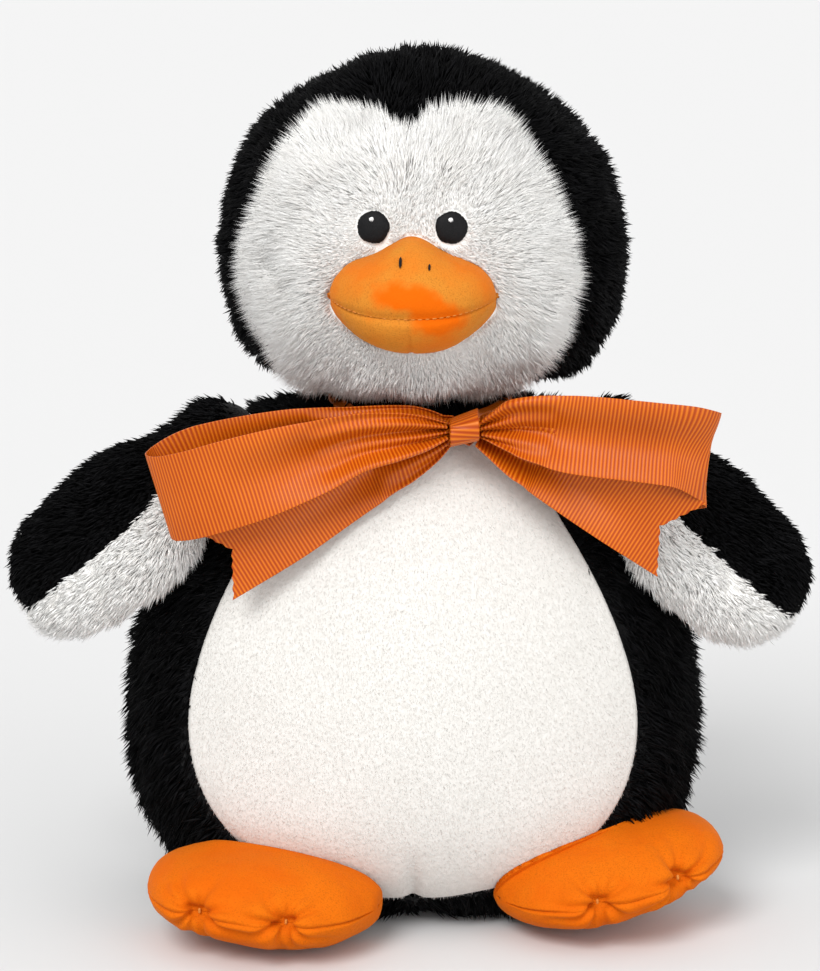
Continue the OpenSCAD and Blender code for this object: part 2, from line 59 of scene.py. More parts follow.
BODY_Y, BODY_HALF_W, BODY_FRONT, BODY_BACK = 20, 121, 92, 80
BODY_WIDEST_Z, BODY_TOP_Z = 88, 222
BELLY_HALF_W, BELLY_WIDEST_Z, BELLY_LOW_Z, BELLY_TOP_HALF_W = 98, 92, 16, 34
HEAD_X, HEAD_Y, HEAD_YAW = 3.5, 14, math.radians(-3)
HEAD_HALF_W, HEAD_FRONT, HEAD_BACK = 88, 74, 76
HEAD_WIDEST_Z, HEAD_TOP_Z, HEAD_LOW_Z = 293, 384, 236
BEAK_HALF_W, BEAK_DEPTH, BEAK_Z, BEAK_RISE, BEAK_DROP = 35, 34, 280, 30, 20
EYE_R, EYE_X, EYE_Z = 6.8, 16.25, 313.2
NECK_R = 31
WING_PIVOT = np.array([84.0, -8.0, 212.0])
WING_LENGTH, WING_HALF_W, WING_HALF_T, WING_ROOT_R = 114, 35, 16, 18
WING_DROOP, WING_LEAN, WING_RIGHT_SAG = math.radians(40.5), math.radians(35), math.radians(3)
FOOT_HALF_W, FOOT_HALF_L, FOOT_HALF_H, FOOT_CENTRE = 51, 44, 20, 10
RIBBON_W = 38

# ---- Numbers of the soft surfaces ----

# Thickness of the fur's backing, and of the thinner cloth of wings, neck, beak and feet
SKIN_T, COVER_T = 1.4, 1.2
FLOOR_GAP, TUFT_FLOOR_GAP = 0.4, 0.3  # how near the floor a skin and a tuft may come
TUFT_ROOT, TUFT_TAPER = 0.6, 0.42  # how deep a tuft is rooted; its radius half way up, over its width
MOST_TUFTS = 19000  # keeps each piece under 200,000 triangles
# Each pile: tufts to a square millimetre, a tuft's width, how strongly tufts gather,
# and how far apart the centres lie that they gather round
BODY_PILE = dict(per_mm2=0.6, width=1.05, clump=0.7, clump_size=6.5)
BELLY_PILE = dict(per_mm2=0.9, width=0.17, clump=0.0, clump_size=3.0, bend=0.2, wild=0.08, patchy=0.1)
HOOD_PILE = dict(per_mm2=0.75, width=0.95, clump=0.6, clump_size=5.5)
FACE_PILE = dict(per_mm2=4.6, width=0.36, clump=0.42, clump_size=3.6, bend=0.25, wild=0.14)
WING_BLACK_PILE = dict(per_mm2=0.65, width=1.0, clump=0.5, clump_size=4.5)
WING_WHITE_PILE = dict(per_mm2=2.0, width=0.6, clump=0.5, clump_size=4.5)
NECK_PILE = dict(per_mm2=0.45, width=1.0, clump=0.5, clump_size=5.0)

# ---- Small tools ----


def unit(v):
    return v / np.maximum(np.linalg.norm(v, axis=-1, keepdims=True), 1e-9)


def smooth(a, b, x):
    """0 below a and 1 above b, with a smooth rise between"""
    t = np.clip((np.asarray(x, float) - a) / (b - a), 0, 1)
    return t * t * (3 - 2 * t)


def soft_max(a, b, width):
    """The greater of two, with a rounded change between them"""
    return (a + b + np.sqrt((a - b) ** 2 + width**2)) / 2


def bell(x, centre, width):
    return np.exp(-(((x - centre) / width) ** 2))


def rounded(distance, reach, power):
    """Height of a rounded end, from 1 in the middle to 0 at the distance reach"""
    return (1 - np.clip(np.abs(distance) / reach, 0, 1) ** power) ** (1 / power)


def stack(x, y, z):
    return np.stack(np.broadcast_arrays(x, y, z), -1).astype(float)


def lattice(cells, seed):
    """Three even random numbers from 0 to 1 for each whole-number cell"""
    factors = (73856093, 19349663, 83492791)
    n = np.full(cells.shape[:-1], seed * 2654435761 + 97, np.uint64)
    for axis, factor in enumerate(factors):
        n ^= cells[..., axis].astype(np.int64).astype(np.uint64) * np.uint64(factor)
    out = []
    for _ in range(3):
        n = (n ^ (n >> np.uint64(30))) * np.uint64(0xBF58476D1CE4E5B9)
        n = (n ^ (n >> np.uint64(27))) * np.uint64(0x94D049BB133111EB)
        n ^= n >> np.uint64(31)
        out.append((n >> np.uint64(40)).astype(float) / 2**24)
    return np.stack(out, -1)


def noise(points, size, seed):
    """Smooth noise with bumps about size across: three numbers from -1 to 1 at each point"""
    p = points / size
    base = np.floor(p).astype(np.int64)
    f = p - base
    f = f * f * (3 - 2 * f)
    total = np.zeros(points.shape)
    for corner in np.ndindex(2, 2, 2):
        weight = np.prod(np.where(np.array(corner) == 1, f, 1 - f), axis=-1, keepdims=True)
        total += weight * (2 * lattice(base + np.array(corner), seed) - 1)
    return total


def nearest_centre(points, size, seed):
    """The nearest of many jittered centres, about one to each cube of this size"""
    base = np.floor(points / size).astype(np.int64)
    best, found = np.full(len(points), np.inf), np.zeros(points.shape)
    for corner in np.ndindex(3, 3, 3):
        cell = base + np.array(corner) - 1
        centre = (cell + lattice(cell, seed)) * size
        away = np.sum((centre - points) ** 2, -1)
        closer = away < best
        best[closer] = away[closer]
        found[closer] = centre[closer]
    return found


# ---- Meshes ----


def add_object(name, verts, faces, materials, smooth_faces=True, material_index=None):
    """A mesh object from points in millimetres, and a list of arrays of faces with the same corner count"""
    mesh = bpy.data.meshes.new(name)
    counts = np.concatenate([np.full(len(f), f.shape[1]) for f in faces])
    corners = np.concatenate([f.ravel() for f in faces])
    mesh.vertices.add(len(verts))
    mesh.vertices.foreach_set("co", (np.asarray(verts, float) * MM).astype(np.float32).ravel())
    mesh.loops.add(len(corners))
    mesh.loops.foreach_set("vertex_index", corners.astype(np.int32))
    mesh.polygons.add(len(counts))
    starts = np.concatenate([[0], np.cumsum(counts)[:-1]])
    mesh.polygons.foreach_set("loop_start", starts.astype(np.int32))
    mesh.polygons.foreach_set("use_smooth", np.full(len(counts), smooth_faces))
    if material_index is not None:
        mesh.polygons.foreach_set("material_index", material_index.astype(np.int32))
    mesh.update(calc_edges=True)
    mesh.validate()
    for m in materials:
        mesh.materials.append(m)
    obj = bpy.data.objects.new(name, mesh)
    bpy.context.scene.collection.objects.link(obj)
    return obj


def grid_quads(rows, cols, first=0, reverse=False, wrap=False):
    i, j = np.meshgrid(np.arange(rows - 1), np.arange(cols if wrap else cols - 1), indexing="ij")
    a = first + i * cols + j
    b = first + i * cols + (j + 1) % cols
    quads = np.stack([a, b, b + cols, a + cols], -1).reshape(-1, 4)
    return quads[:, ::-1] if reverse else quads


def grid_normals(grid, wrap=False):
    """Outward normals, where columns by rows points outward"""
    g = np.concatenate([grid[:, -1:], grid, grid[:, :1]], 1) if wrap else grid
    cols = np.gradient(g, axis=1)
    if wrap:
        cols = cols[:, 1:-1]
    return unit(np.cross(cols, np.gradient(grid, axis=0)))


def add_layers(name, outer, inner, materials, wrap=False):
    """A closed sheet between a grid of outer points and a matching grid of inner ones"""
    rows, cols = outer.shape[:2]
    count = rows * cols
    index = np.arange(count).reshape(rows, cols)
    if wrap:
        rims = [np.append(index[0], index[0, 0]), np.append(index[-1], index[-1, 0])[::-1]]
    else:
        rims = [np.concatenate([index[0], index[1:, -1], index[-1, -2::-1], index[-2:0:-1, 0], index[0, :1]])]
    sides = [np.stack([r[1:], r[:-1], r[:-1] + count, r[1:] + count], -1) for r in rims]
    faces = [grid_quads(rows, cols, 0, False, wrap), grid_quads(rows, cols, count, True, wrap)] + sides
    return add_object(name, np.concatenate([outer.reshape(-1, 3), inner.reshape(-1, 3)]), faces, materials)


def add_shell(name, outer, thickness, materials, wrap=False):
    """A closed skin of a thickness, under a grid of outer points"""
    return add_layers(name, outer, outer - thickness * grid_normals(outer, wrap), materials, wrap)


def add_closed(name, rings, materials):
    """A closed solid from rings of points, each ring anticlockwise as seen from the last one"""
    rows, cols = rings.shape[:2]
    faces = [grid_quads(rows, cols, 0, False, True)]
    faces.append(np.arange(cols)[None, ::-1])
    faces.append((rows - 1) * cols + np.arange(cols)[None, :])
    return add_object(name, rings.reshape(-1, 3), faces, materials)


# ---- Pile: tapered tufts rooted all over a grid ----


def at(field, place):
    """A grid's field at the sampled places"""
    i, j, u, v = place
    if np.ndim(field) == 0:
        return np.full(len(i), float(field))
    w = [(1 - u) * (1 - v), (1 - u) * v, u * v, u * (1 - v)]
    parts = [field[i, j], field[i, j + 1], field[i + 1, j + 1], field[i + 1, j]]
    shape = (-1,) + (1,) * (field.ndim - 2)
    return sum(k.reshape(shape) * part for k, part in zip(w, parts))


def spread(grid, weight, per_mm2, rng):
    """Places spread evenly over a grid, denser where weight is greater"""
    a, b, c, d = grid[:-1, :-1], grid[:-1, 1:], grid[1:, 1:], grid[1:, :-1]
    near, far = np.cross(b - a, c - a), np.cross(c - a, d - a)
    area = 0.5 * (np.linalg.norm(near, axis=-1) + np.linalg.norm(far, axis=-1))
    if np.ndim(weight):
        area = area * (weight[:-1, :-1] + weight[:-1, 1:] + weight[1:, 1:] + weight[1:, :-1]) / 4
    edges = np.cumsum(area.ravel())
    count = int(edges[-1] * per_mm2)
    picks = (np.arange(count) + rng.random(count)) * edges[-1] / count
    cell = np.searchsorted(edges, picks).clip(0, area.size - 1)
    i, j = np.divmod(cell, area.shape[1])
    u, v = rng.random((2, count))
    return i, j, u, v


def add_tufts(name, root, middle, tip, width, shade, materials, rng):
    """Three-sided tapered tufts, each closed, bent once at its middle"""
    axis = unit(tip - root)
    side = unit(np.cross(axis, unit(rng.normal(size=axis.shape))))
    other = np.cross(axis, side)
    rings = []
    for centre, r in ((root, width / 2), (middle, width * TUFT_TAPER)):
        for k in range(3):
            turn = 2 * math.pi * k / 3
            rings.append(centre + r[:, None] * (math.cos(turn) * side + math.sin(turn) * other))
    corners = rings + [tip]
    verts = np.stack(corners, 1).reshape(-1, 3)
    verts[:, 2] = np.maximum(verts[:, 2], TUFT_FLOOR_GAP)
    first = len(corners) * np.arange(len(root))[:, None]
    quads = np.array([[0, 1, 4, 3], [1, 2, 5, 4], [2, 0, 3, 5]])
    tris = np.array([[3, 4, 6], [4, 5, 6], [5, 3, 6], [0, 2, 1]])
    faces = [(first[:, None] + quads).reshape(-1, 4), (first[:, None] + tris).reshape(-1, 3)]
    index = np.concatenate([np.repeat(shade, len(quads)), np.repeat(shade, len(tris))])
    return add_object(name, verts, faces, materials, True, index)


def pile(name, grid, materials, length, comb, lean, seed, weight=1.0, avoid=None, *,
         per_mm2, width, clump, clump_size, bend=0.3, wild=0.12, patchy=1.0):
    """Pile over a grid of points, in pieces of at most MOST_TUFTS.

    comb is the way it lies, and lean how flat it lies, from 0 for upright to 1. weight thins it out, bend
    curves the tufts, wild scatters them, and patchy makes them vary from place to place. A tuft that comes
    where avoid says is left out.
    """
    rng = np.random.default_rng(seed)
    normals = grid_normals(grid)
    place = spread(grid, weight, per_mm2, rng)
    root = at(grid, place)
    out = unit(at(normals, place))
    way = at(comb, place)
    way = unit(way - out * np.sum(way * out, -1, keepdims=True))
    size = at(length, place) * (0.72 + 0.5 * rng.random(len(root)))
    flat = np.clip(at(lean, place) + 0.12 * patchy * noise(root, 14, seed + 5)[:, 0], 0, 0.95)[:, None]
    start = out * (1 - flat) + way * flat + 0.3 * patchy * noise(root, 9, seed + 1)
    start += wild * rng.normal(size=root.shape)
    start = unit(start)
    middle = root + 0.5 * size[:, None] * start
    tip = middle + 0.5 * size[:, None] * unit(start + bend * way)
    pull = nearest_centre(root, clump_size, seed + 2) - root
    pull -= out * np.sum(pull * out, -1, keepdims=True)
    tip += clump * pull
    middle += 0.4 * clump * pull
    keep = np.ones(len(root), bool) if avoid is None else ~(avoid(root) | avoid(tip) | avoid(middle))
    shade = rng.random(len(root)) * 0.75 + 0.125 + 0.3 * patchy * noise(root, 6, seed + 3)[:, 0]
    shade = np.clip(shade * len(materials), 0, len(materials) - 1).astype(int)
    widths = width * (0.7 + 0.6 * rng.random(len(root)))
    root = root - TUFT_ROOT * out
    parts = [x[keep] for x in (root, middle, tip, widths, shade)]
    pieces = max(1, math.ceil(len(parts[0]) / MOST_TUFTS))
    made = []
    for k, rows in enumerate(np.array_split(np.arange(len(parts[0])), pieces)):
        label = name if pieces == 1 else f"{name}_{k + 1}"
        made.append(add_tufts(label, *[x[rows] for x in parts], materials, rng))
    return made


# ---- Materials ----


def material(name, colour, rough, sheen=0.0, specular=0.3, sheen_rough=0.4):
    m = bpy.data.materials.new(name)
    m.use_nodes = True
    p = m.node_tree.nodes["Principled BSDF"]
    p.inputs["Base Color"].default_value = (*colour, 1)
    p.inputs["Roughness"].default_value = rough
    p.inputs["Specular IOR Level"].default_value = specular
    p.inputs["Sheen Weight"].default_value = sheen
    p.inputs["Sheen Roughness"].default_value = sheen_rough
    return m


def node(m, kind, **settings):
    n = m.node_tree.nodes.new(kind)
    for key, value in settings.items():
        if key in n.inputs:
            n.inputs[key].default_value = value
        else:
            setattr(n, key, value)
    return n


def link(m, a, b):
    m.node_tree.links.new(a, b)


def shader(m):
    return m.node_tree.nodes["Principled BSDF"]


def coloured(m, socket):
    link(m, socket, shader(m).inputs["Base Color"])


def place_vector(m):
    """The piece's own coordinates, in metres"""
    return node(m, "ShaderNodeTexCoord").outputs["Object"]


def noise_node(m, vector, scale, detail=3.0, rough=0.55):
    n = node(m, "ShaderNodeTexNoise", Scale=scale, Detail=detail, Roughness=rough)
    link(m, vector, n.inputs["Vector"])
    return n.outputs["Fac"]


def ramp(m, fac, stops):
    n = node(m, "ShaderNodeValToRGB")
    ends = n.color_ramp.elements
    while len(ends) < len(stops):
        ends.new(0.5)
    for e, (spot, colour) in zip(ends, stops):
        e.position = spot
        e.color = (*colour, 1)
    link(m, fac, n.inputs["Fac"])
    return n.outputs["Color"]


def mixed(m, fac, a, b, kind="MIX"):
    n = node(m, "ShaderNodeMix", data_type="RGBA", blend_type=kind)
    if isinstance(fac, float):
        n.inputs["Factor"].default_value = fac
    else:
        link(m, fac, n.inputs["Factor"])
    for socket, value in ((n.inputs[6], a), (n.inputs[7], b)):
        if isinstance(value, tuple):
            socket.default_value = (*value, 1)
        else:
            link(m, value, socket)
    return n.outputs[2]


def bumped(m, height, distance, strength=1.0):
    n = node(m, "ShaderNodeBump", Strength=strength, Distance=distance)
    link(m, height, n.inputs["Height"])
    link(m, n.outputs["Normal"], shader(m).inputs["Normal"])


def fur_shades(name, colours, rough, sheen, specular):
    return [material(f"{name}_{k + 1}", c, rough, sheen, specular) for k, c in enumerate(colours)]


def backing(name, dark, light, scale=900.0, depth=0.0006):
    """The knitted ground that a pile stands on"""
    m = material(name, dark, 0.9, 0.1, 0.1)
    v = place_vector(m)
    coloured(m, ramp(m, noise_node(m, v, scale), [(0.35, dark), (0.7, light)]))
    bumped(m, noise_node(m, v, scale * 1.6, 2.0), depth)
    return m


BLACK_SHADES = [(0.0011, 0.0011, 0.0013), (0.002, 0.002, 0.0023), (0.0042, 0.0042, 0.0048)]
WHITE_SHADES = [(0.93, 0.915, 0.89), (0.955, 0.945, 0.925), (0.97, 0.965, 0.95)]
BLACK_FUR = fur_shades("black_pile", BLACK_SHADES, 0.6, 0.0, 0.06)
WHITE_FUR = fur_shades("white_pile", WHITE_SHADES, 0.75, 0.1, 0.12)
BELLY_SHADES = [(0.70, 0.68, 0.648), (0.725, 0.705, 0.675), (0.75, 0.73, 0.70)]
BELLY_FUR = fur_shades("belly_pile", BELLY_SHADES, 0.75, 0.1, 0.1)
BLACK_GROUND = backing("black_ground", (0.0012, 0.0012, 0.0014), (0.003, 0.003, 0.0034))
WHITE_GROUND = backing("white_ground", (0.88, 0.86, 0.82), (0.94, 0.93, 0.91))
BELLY_GROUND = backing("belly_ground", (0.635, 0.618, 0.585), (0.70, 0.684, 0.655), 420.0, 0.0002)


def soft_spot(m, vector, middle, reach):
    """1 in the middle of an oval spot, in metres, falling to 0 at its edge"""
    away = node(m, "ShaderNodeVectorMath", operation="SUBTRACT")
    link(m, vector, away.inputs[0])
    away.inputs[1].default_value = [v * MM for v in middle]
    scaled = node(m, "ShaderNodeVectorMath", operation="DIVIDE")
    link(m, away.outputs[0], scaled.inputs[0])
    scaled.inputs[1].default_value = [v * MM for v in reach]
    far = node(m, "ShaderNodeVectorMath", operation="LENGTH")
    link(m, scaled.outputs[0], far.inputs[0])
    fall = node(m, "ShaderNodeMapRange", interpolation_type="SMOOTHSTEP")
    fall.inputs["From Min"].default_value = 1.0
    fall.inputs["From Max"].default_value = 0.45
    link(m, far.outputs["Value"], fall.inputs["Value"])
    return fall.outputs["Result"]


SPOT_WOBBLE = 6.0  # how far a brushed spot's edge wanders


def velour_material(name, light, deep, spots=()):
    """Brushed velour: fine specks, soft patches, and spots brushed the other way, which look deeper"""
    m = material(name, light, 0.75, 0.12, 0.06, 0.35)
    shader(m).inputs["Sheen Tint"].default_value = (1.0, 0.5, 0.12, 1)
    v = place_vector(m)
    speck = tuple(c * 0.72 for c in light)
    fine = ramp(m, noise_node(m, v, 1500.0, 2.0), [(0.28, speck), (0.5, light)])
    patches = ramp(m, noise_node(m, v, 38.0, 3.0), [(0.4, (0, 0, 0)), (0.65, (1, 1, 1))])
    colour = mixed(m, mixed(m, 0.55, (0.0, 0.0, 0.0), patches), fine, deep)
    rough_edge = node(m, "ShaderNodeVectorMath", operation="MULTIPLY_ADD")
    wobble = node(m, "ShaderNodeTexNoise", Scale=160.0, Detail=2.0)
    link(m, v, wobble.inputs["Vector"])
    link(m, wobble.outputs["Color"], rough_edge.inputs[0])
    rough_edge.inputs[1].default_value = [SPOT_WOBBLE * MM] * 3
    link(m, v, rough_edge.inputs[2])
    for middle, reach in spots:
        shifted = [c + SPOT_WOBBLE / 2 for c in middle]
        colour = mixed(m, soft_spot(m, rough_edge.outputs[0], shifted, reach), colour, deep)
    coloured(m, colour)
    bumped(m, noise_node(m, v, 1100.0, 2.0), 0.0005, 0.5)
    return m


def grosgrain_material():
    """Ribbed ribbon: UV runs across the ribbon in X and along it in Y, in units of metres"""
    m = material("grosgrain", (0.5, 0.11, 0.002), 0.42, 0.0, 0.25)
    uv = node(m, "ShaderNodeUVMap", uv_map="cloth")
    part = node(m, "ShaderNodeSeparateXYZ")
    link(m, uv.outputs["UV"], part.inputs["Vector"])
    wave = node(m, "ShaderNodeMath", operation="MULTIPLY")
    link(m, part.outputs["Y"], wave.inputs[0])
    wave.inputs[1].default_value = 2 * math.pi / (RIB_PITCH * MM)
    rib = node(m, "ShaderNodeMath", operation="SINE")
    link(m, wave.outputs[0], rib.inputs[0])
    lift = node(m, "ShaderNodeMapRange")
    lift.inputs["From Min"].default_value = -1
    link(m, rib.outputs[0], lift.inputs["Value"])
    # The colour follows the ribs: painted shade in the troughs between them and a painted highlight on their
    # crests
    stops = [(0.0, (0.38, 0.048, 0.0006)), (0.5, (0.50, 0.090, 0.0015)), (1.0, (0.68, 0.175, 0.006))]
    rib_shade_and_highlight = ramp(m, lift.outputs["Result"], stops)
    v = place_vector(m)
    tone = ramp(m, noise_node(m, v, 26.0, 2.0), [(0.35, (0.88, 0.82, 0.78)), (0.7, (1.0, 1.0, 1.0))])
    coloured(m, mixed(m, 1.0, rib_shade_and_highlight, tone, "MULTIPLY"))
    return m


def thread_material(name, dark, light, rough=0.45):
    m = material(name, dark, rough, 0.0, 0.15)
    v = place_vector(m)
    coloured(m, ramp(m, noise_node(m, v, 2500.0, 2.0), [(0.35, dark), (0.7, light)]))
    return m


def fibre_material():
    m = material("fibre_fill", (0.88, 0.88, 0.87), 0.85, 0.3, 0.2)
    v = place_vector(m)
    strands = noise_node(m, v, 160.0, 8.0, 0.8)
    coloured(m, ramp(m, strands, [(0.3, (0.70, 0.70, 0.69)), (0.65, (0.93, 0.93, 0.92))]))
    bumped(m, strands, 0.002)
    return m


def bag_material():
    """Plain woven cotton over pellets"""
    m = material("pellet_bag_cotton", (0.7, 0.66, 0.57), 0.9, 0.1, 0.2)
    v = place_vector(m)
    coloured(m, ramp(m, noise_node(m, v, 1500.0), [(0.3, (0.6, 0.55, 0.46)), (0.7, (0.76, 0.72, 0.63))]))
    cells = node(m, "ShaderNodeTexVoronoi", Scale=260.0)
    link(m, v, cells.inputs["Vector"])
    bumped(m, cells.outputs["Distance"], 0.0015)
    return m


RIB_PITCH = 1.65  # of the ribbon's cross ribs
FOOT_VELOUR = velour_material("foot_velour", (0.63, 0.130, 0.0025), (0.60, 0.092, 0.0005))
BEAK_VELOUR = velour_material(
    "beak_velour", (0.58, 0.205, 0.022), (0.66, 0.112, 0.0005),
    spots=(
        ((-4, -85, 289.5), (17, 60, 7.5)),
        ((5, -88, 286), (11, 60, 8)),
        ((11.5, -94, 279.5), (15, 60, 10)),
    ),
)
GROSGRAIN = grosgrain_material()
FIBRE = fibre_material()
BAG = bag_material()
BLACK_THREAD = thread_material("black_thread", (0.0025, 0.0025, 0.003), (0.008, 0.008, 0.009), 0.6)
WHITE_THREAD = thread_material("white_thread", (0.80, 0.80, 0.80), (0.92, 0.92, 0.92))
ORANGE_THREAD = thread_material("orange_thread", (0.52, 0.15, 0.015), (0.72, 0.30, 0.07))


def finish_piece(obj, body, slot, *nodes, padded=None):
    """Puts a finished piece on the body it moves with and hides the CAD nodes it stands for. slot, its
    finish, is not used.
    """
    if body:
        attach(obj, body)
    if nodes:
        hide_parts(*nodes)
    return obj


# ---- Body ----


SHOULDER_Z = 5.0  # how far the fabric rises from the shoulders to the neck
SHOULDER_SWELL = 13.0  # how far the shoulders stand out past the CAD's


def body_size(z):
    below = rounded(BODY_WIDEST_Z - z, BODY_WIDEST_Z + 4, 3)
    above = rounded(z - BODY_WIDEST_Z, 70 + BODY_WIDEST_Z, 1.8)
    return np.where(z < BODY_WIDEST_Z, below, above)


def body_swell(z):
    """How far the sides stand out past the CAD's, low down, or in near the shoulders"""
    return 1.5 * bell(z, 75, 45) - 4.5 * smooth(125, 190, z)


def body_front(z):
    return BODY_FRONT * body_size(z) ** np.where(z < BODY_WIDEST_Z, 1.5, 0.8)


def body_point(angle, z):
    """A point on the body, at an angle from straight ahead"""
    size = body_size(z)
    depth = np.where(np.cos(angle) > 0, body_front(z), BODY_BACK * size)
    wide = BODY_HALF_W * size + body_swell(z) + SHOULDER_SWELL * smooth(178, 212, z) * np.sin(angle) ** 4
    return stack(wide * np.sin(angle), BODY_Y - depth * np.cos(angle), z)


def belly_half(z):
    low = BELLY_HALF_W * rounded(BELLY_WIDEST_Z - z, BELLY_WIDEST_Z - BELLY_LOW_Z + 0.01, 2.2)
    f = np.clip((z - BELLY_WIDEST_Z) / (BODY_TOP_Z - BELLY_WIDEST_Z), 0, 1) ** 1.7
    high = BELLY_HALF_W + (BELLY_TOP_HALF_W - BELLY_HALF_W) * f
    return np.where(z < BELLY_WIDEST_Z, low, high)


def belly_angle(z):
    wide = BODY_HALF_W * body_size(z) + body_swell(z)
    return np.arcsin(np.minimum(0.98, belly_half(z) / wide))


def body_levels():
    """Heights of the body's rows: closer where the belly panel's lower end curves"""
    low = np.array([0.6, 2, 4, 7, 10, 13])
    turn = BELLY_LOW_Z + 34 * np.linspace(0, 1, 18) ** 2
    return np.concatenate([low, turn, np.linspace(BELLY_LOW_Z + 34, BODY_TOP_Z - 3, 62)[1:]])


def add_body():
    z = body_levels()
    cols = 64
    for side, name in ((-1, "left"), (1, "right")):
        t = np.linspace(0, 1, cols)
        front = np.where(z < BELLY_LOW_Z, 0, belly_angle(z))
        angle = front[:, None] + (math.pi - front[:, None]) * t[None]
        grid = body_point(angle, z[:, None])
        # The seat closes in under the floor row, and the shoulders close in to the neck
        hem = grid[0]
        seat = [stack(hem[:, 0] * f, BODY_Y + (hem[:, 1] - BODY_Y) * f, 0.5) for f in (0.03, 0.4, 0.75, 0.93)]
        top = grid[-1]
        neck = []
        collar_r = NECK_R + 2
        goal = stack(HEAD_X * side + collar_r * np.sin(angle[-1]), HEAD_Y - collar_r * np.cos(angle[-1]), 0)
        for f in (0.25, 0.5, 0.75, 1.0):
            ring = top + (goal - top) * f
            ring[:, 2] = top[:, 2] + SHOULDER_Z * math.sin(f * math.pi / 2)
            neck.append(ring)
        grid = np.concatenate([np.stack(seat), grid, np.stack(neck)])
        normal = grid_normals(grid)
        grid = grid + normal * (1.2 * noise(grid, 34, 11)[..., :1] + 0.5 * noise(grid, 12, 12)[..., :1])
        grid[..., 2] = np.maximum(grid[..., 2], FLOOR_GAP)
        if side < 0:
            grid = grid[:, ::-1] * [-1, 1, 1]
        seam = grid[:, -1] if side < 0 else grid[:, 0]
        obj = add_shell(f"body_skin_{name}", grid, SKIN_T, [BLACK_GROUND])
        finish_piece(obj, "torso", "black_fur", f"body_fur_{name}", padded=0.8)
        from_seam = np.linalg.norm(grid - seam[:, None], axis=-1)
        on_seat = grid[..., 2] < 1.5
        high = grid[..., 2]
        length = 11.0 * (0.45 + 0.55 * smooth(0, 14, from_seam)) * (1 - 0.25 * smooth(150, 205, high))
        away = grid - seam[:, None]
        comb = stack(0, 0, -1.0) + 0.9 * bell(from_seam, 0, 14)[..., None] * unit(away + 1e-6)
        comb = comb + 0.35 * noise(grid, 26, 13)
        weight = np.where(on_seat, 0.12, 1.0)
        lean = 0.52 + 0.2 * bell(from_seam, 0, 12)
        seed = 20 + side
        for part in pile(f"body_pile_{name}", grid, BLACK_FUR, length, comb, lean, seed, weight, **BODY_PILE):
            finish_piece(part, "torso", "black_fur")


def add_belly():
    z = body_levels()
    z = z[z >= BELLY_LOW_Z]
    t = np.linspace(-1, 1, 110)
    angle = t[None] * np.maximum(belly_angle(z), 0.01)[:, None]
    grid = body_point(angle, z[:, None])
    x, up = grid[..., 0], grid[..., 2]
    # A dart's short seam at the lower end, and soft hollows in the fabric
    dart = -2.2 * bell(x, 0, 3.5) * (1 - smooth(24, 48, up))
    soft = 1.8 * noise(grid, 46, 31)[..., 0] + 0.35 * noise(grid, 17, 32)[..., 0]
    grid = grid + grid_normals(grid) * (dart + soft * smooth(0, 0.12, 1 - np.abs(t[None])))[..., None]
    obj = add_shell("belly_cloth", grid, SKIN_T, [BELLY_GROUND])
    finish_piece(obj, "torso", "belly_plush", "belly_panel", padded=0.8)
    comb = stack(0, 0, -1.0) + 0.12 * noise(grid, 20, 33)
    for part in pile("belly_pile", grid, BELLY_FUR, 1.7, comb, 0.78, 34, **BELLY_PILE):
        finish_piece(part, "torso", "belly_plush")


# ---- Head ----


def head_size(z):
    low = np.minimum(rounded(HEAD_WIDEST_Z - z, 86, 2), 0.48 + (z - HEAD_LOW_Z) * 0.045)
    high = rounded(z - HEAD_WIDEST_Z, HEAD_TOP_Z - HEAD_WIDEST_Z, 2)
    return np.maximum(np.where(z < HEAD_WIDEST_Z, low, high), 0.001)


def place_head(p):
    c, s = math.cos(HEAD_YAW), math.sin(HEAD_YAW)
    return stack(c * p[..., 0] - s * p[..., 1] + HEAD_X, s * p[..., 0] + c * p[..., 1] + HEAD_Y, p[..., 2])


def face_depth(x, z):
    wide = HEAD_HALF_W * head_size(z)
    return HEAD_FRONT * head_size(z) * np.sqrt(np.maximum(0, 1 - (x / wide) ** 2))


def head_hit(direction):
    """How far the head's surface is from its middle along each direction"""
    low, high = np.zeros(direction.shape[:-1]), np.full(direction.shape[:-1], 130.0)
    depth = np.where(direction[..., 1] < 0, HEAD_FRONT, HEAD_BACK)
    for _ in range(34):
        t = (low + high) / 2
        p = direction * t[..., None]
        size = head_size(HEAD_WIDEST_Z + p[..., 2])
        outside = (p[..., 0] / HEAD_HALF_W) ** 2 + (p[..., 1] / depth) ** 2 > size**2
        low, high = np.where(outside, low, t), np.where(outside, t, high)
    return (low + high) / 2


def head_point(around, out):
    """A point on the head. around is 0 on the right and 90 degrees at the top, out the angle from ahead.

    The crown lies lower than the CAD's, to leave room for its pile.
    """
    d = stack(np.sin(out) * np.cos(around), -np.cos(out), np.sin(out) * np.sin(around))
    crown = 3.6 * smooth(0.55, 0.95, d[..., 2])
    fuller = 1.2 * bell(d[..., 2], 0.6, 0.2) * (d[..., 0] < 0)
    fuller = fuller + 3.0 * smooth(0.35, 0.9, d[..., 0]) * bell(d[..., 2], -0.2, 0.5)
    reach = head_hit(d) - crown + (fuller - SKIN_INSET) * smooth(0.3, 1.2, out)
    p = d * reach[..., None]
    return p + [0, 0, HEAD_WIDEST_Z]


SKIN_INSET = 3.5  # the head's ground lies this far inside, so that its pile reaches the CAD's outline
# The face panel's cut edge: half its width at each height, and how far its middle is sewn to the left
FACE_EDGE_Z = (231, 236, 242, 251, 260, 268, 277, 287, 297, 307, 321, 330, 339, 347, 352, 360)
FACE_EDGE_HALF = (4, 27, 39, 50, 56.5, 60.5, 64, 66.5, 66, 64, 57.5, 54, 49, 43, 38, 27)
FACE_SHIFT, FACE_LOBE_Z, FACE_PEAK = -2.8, 355.5, 8.5


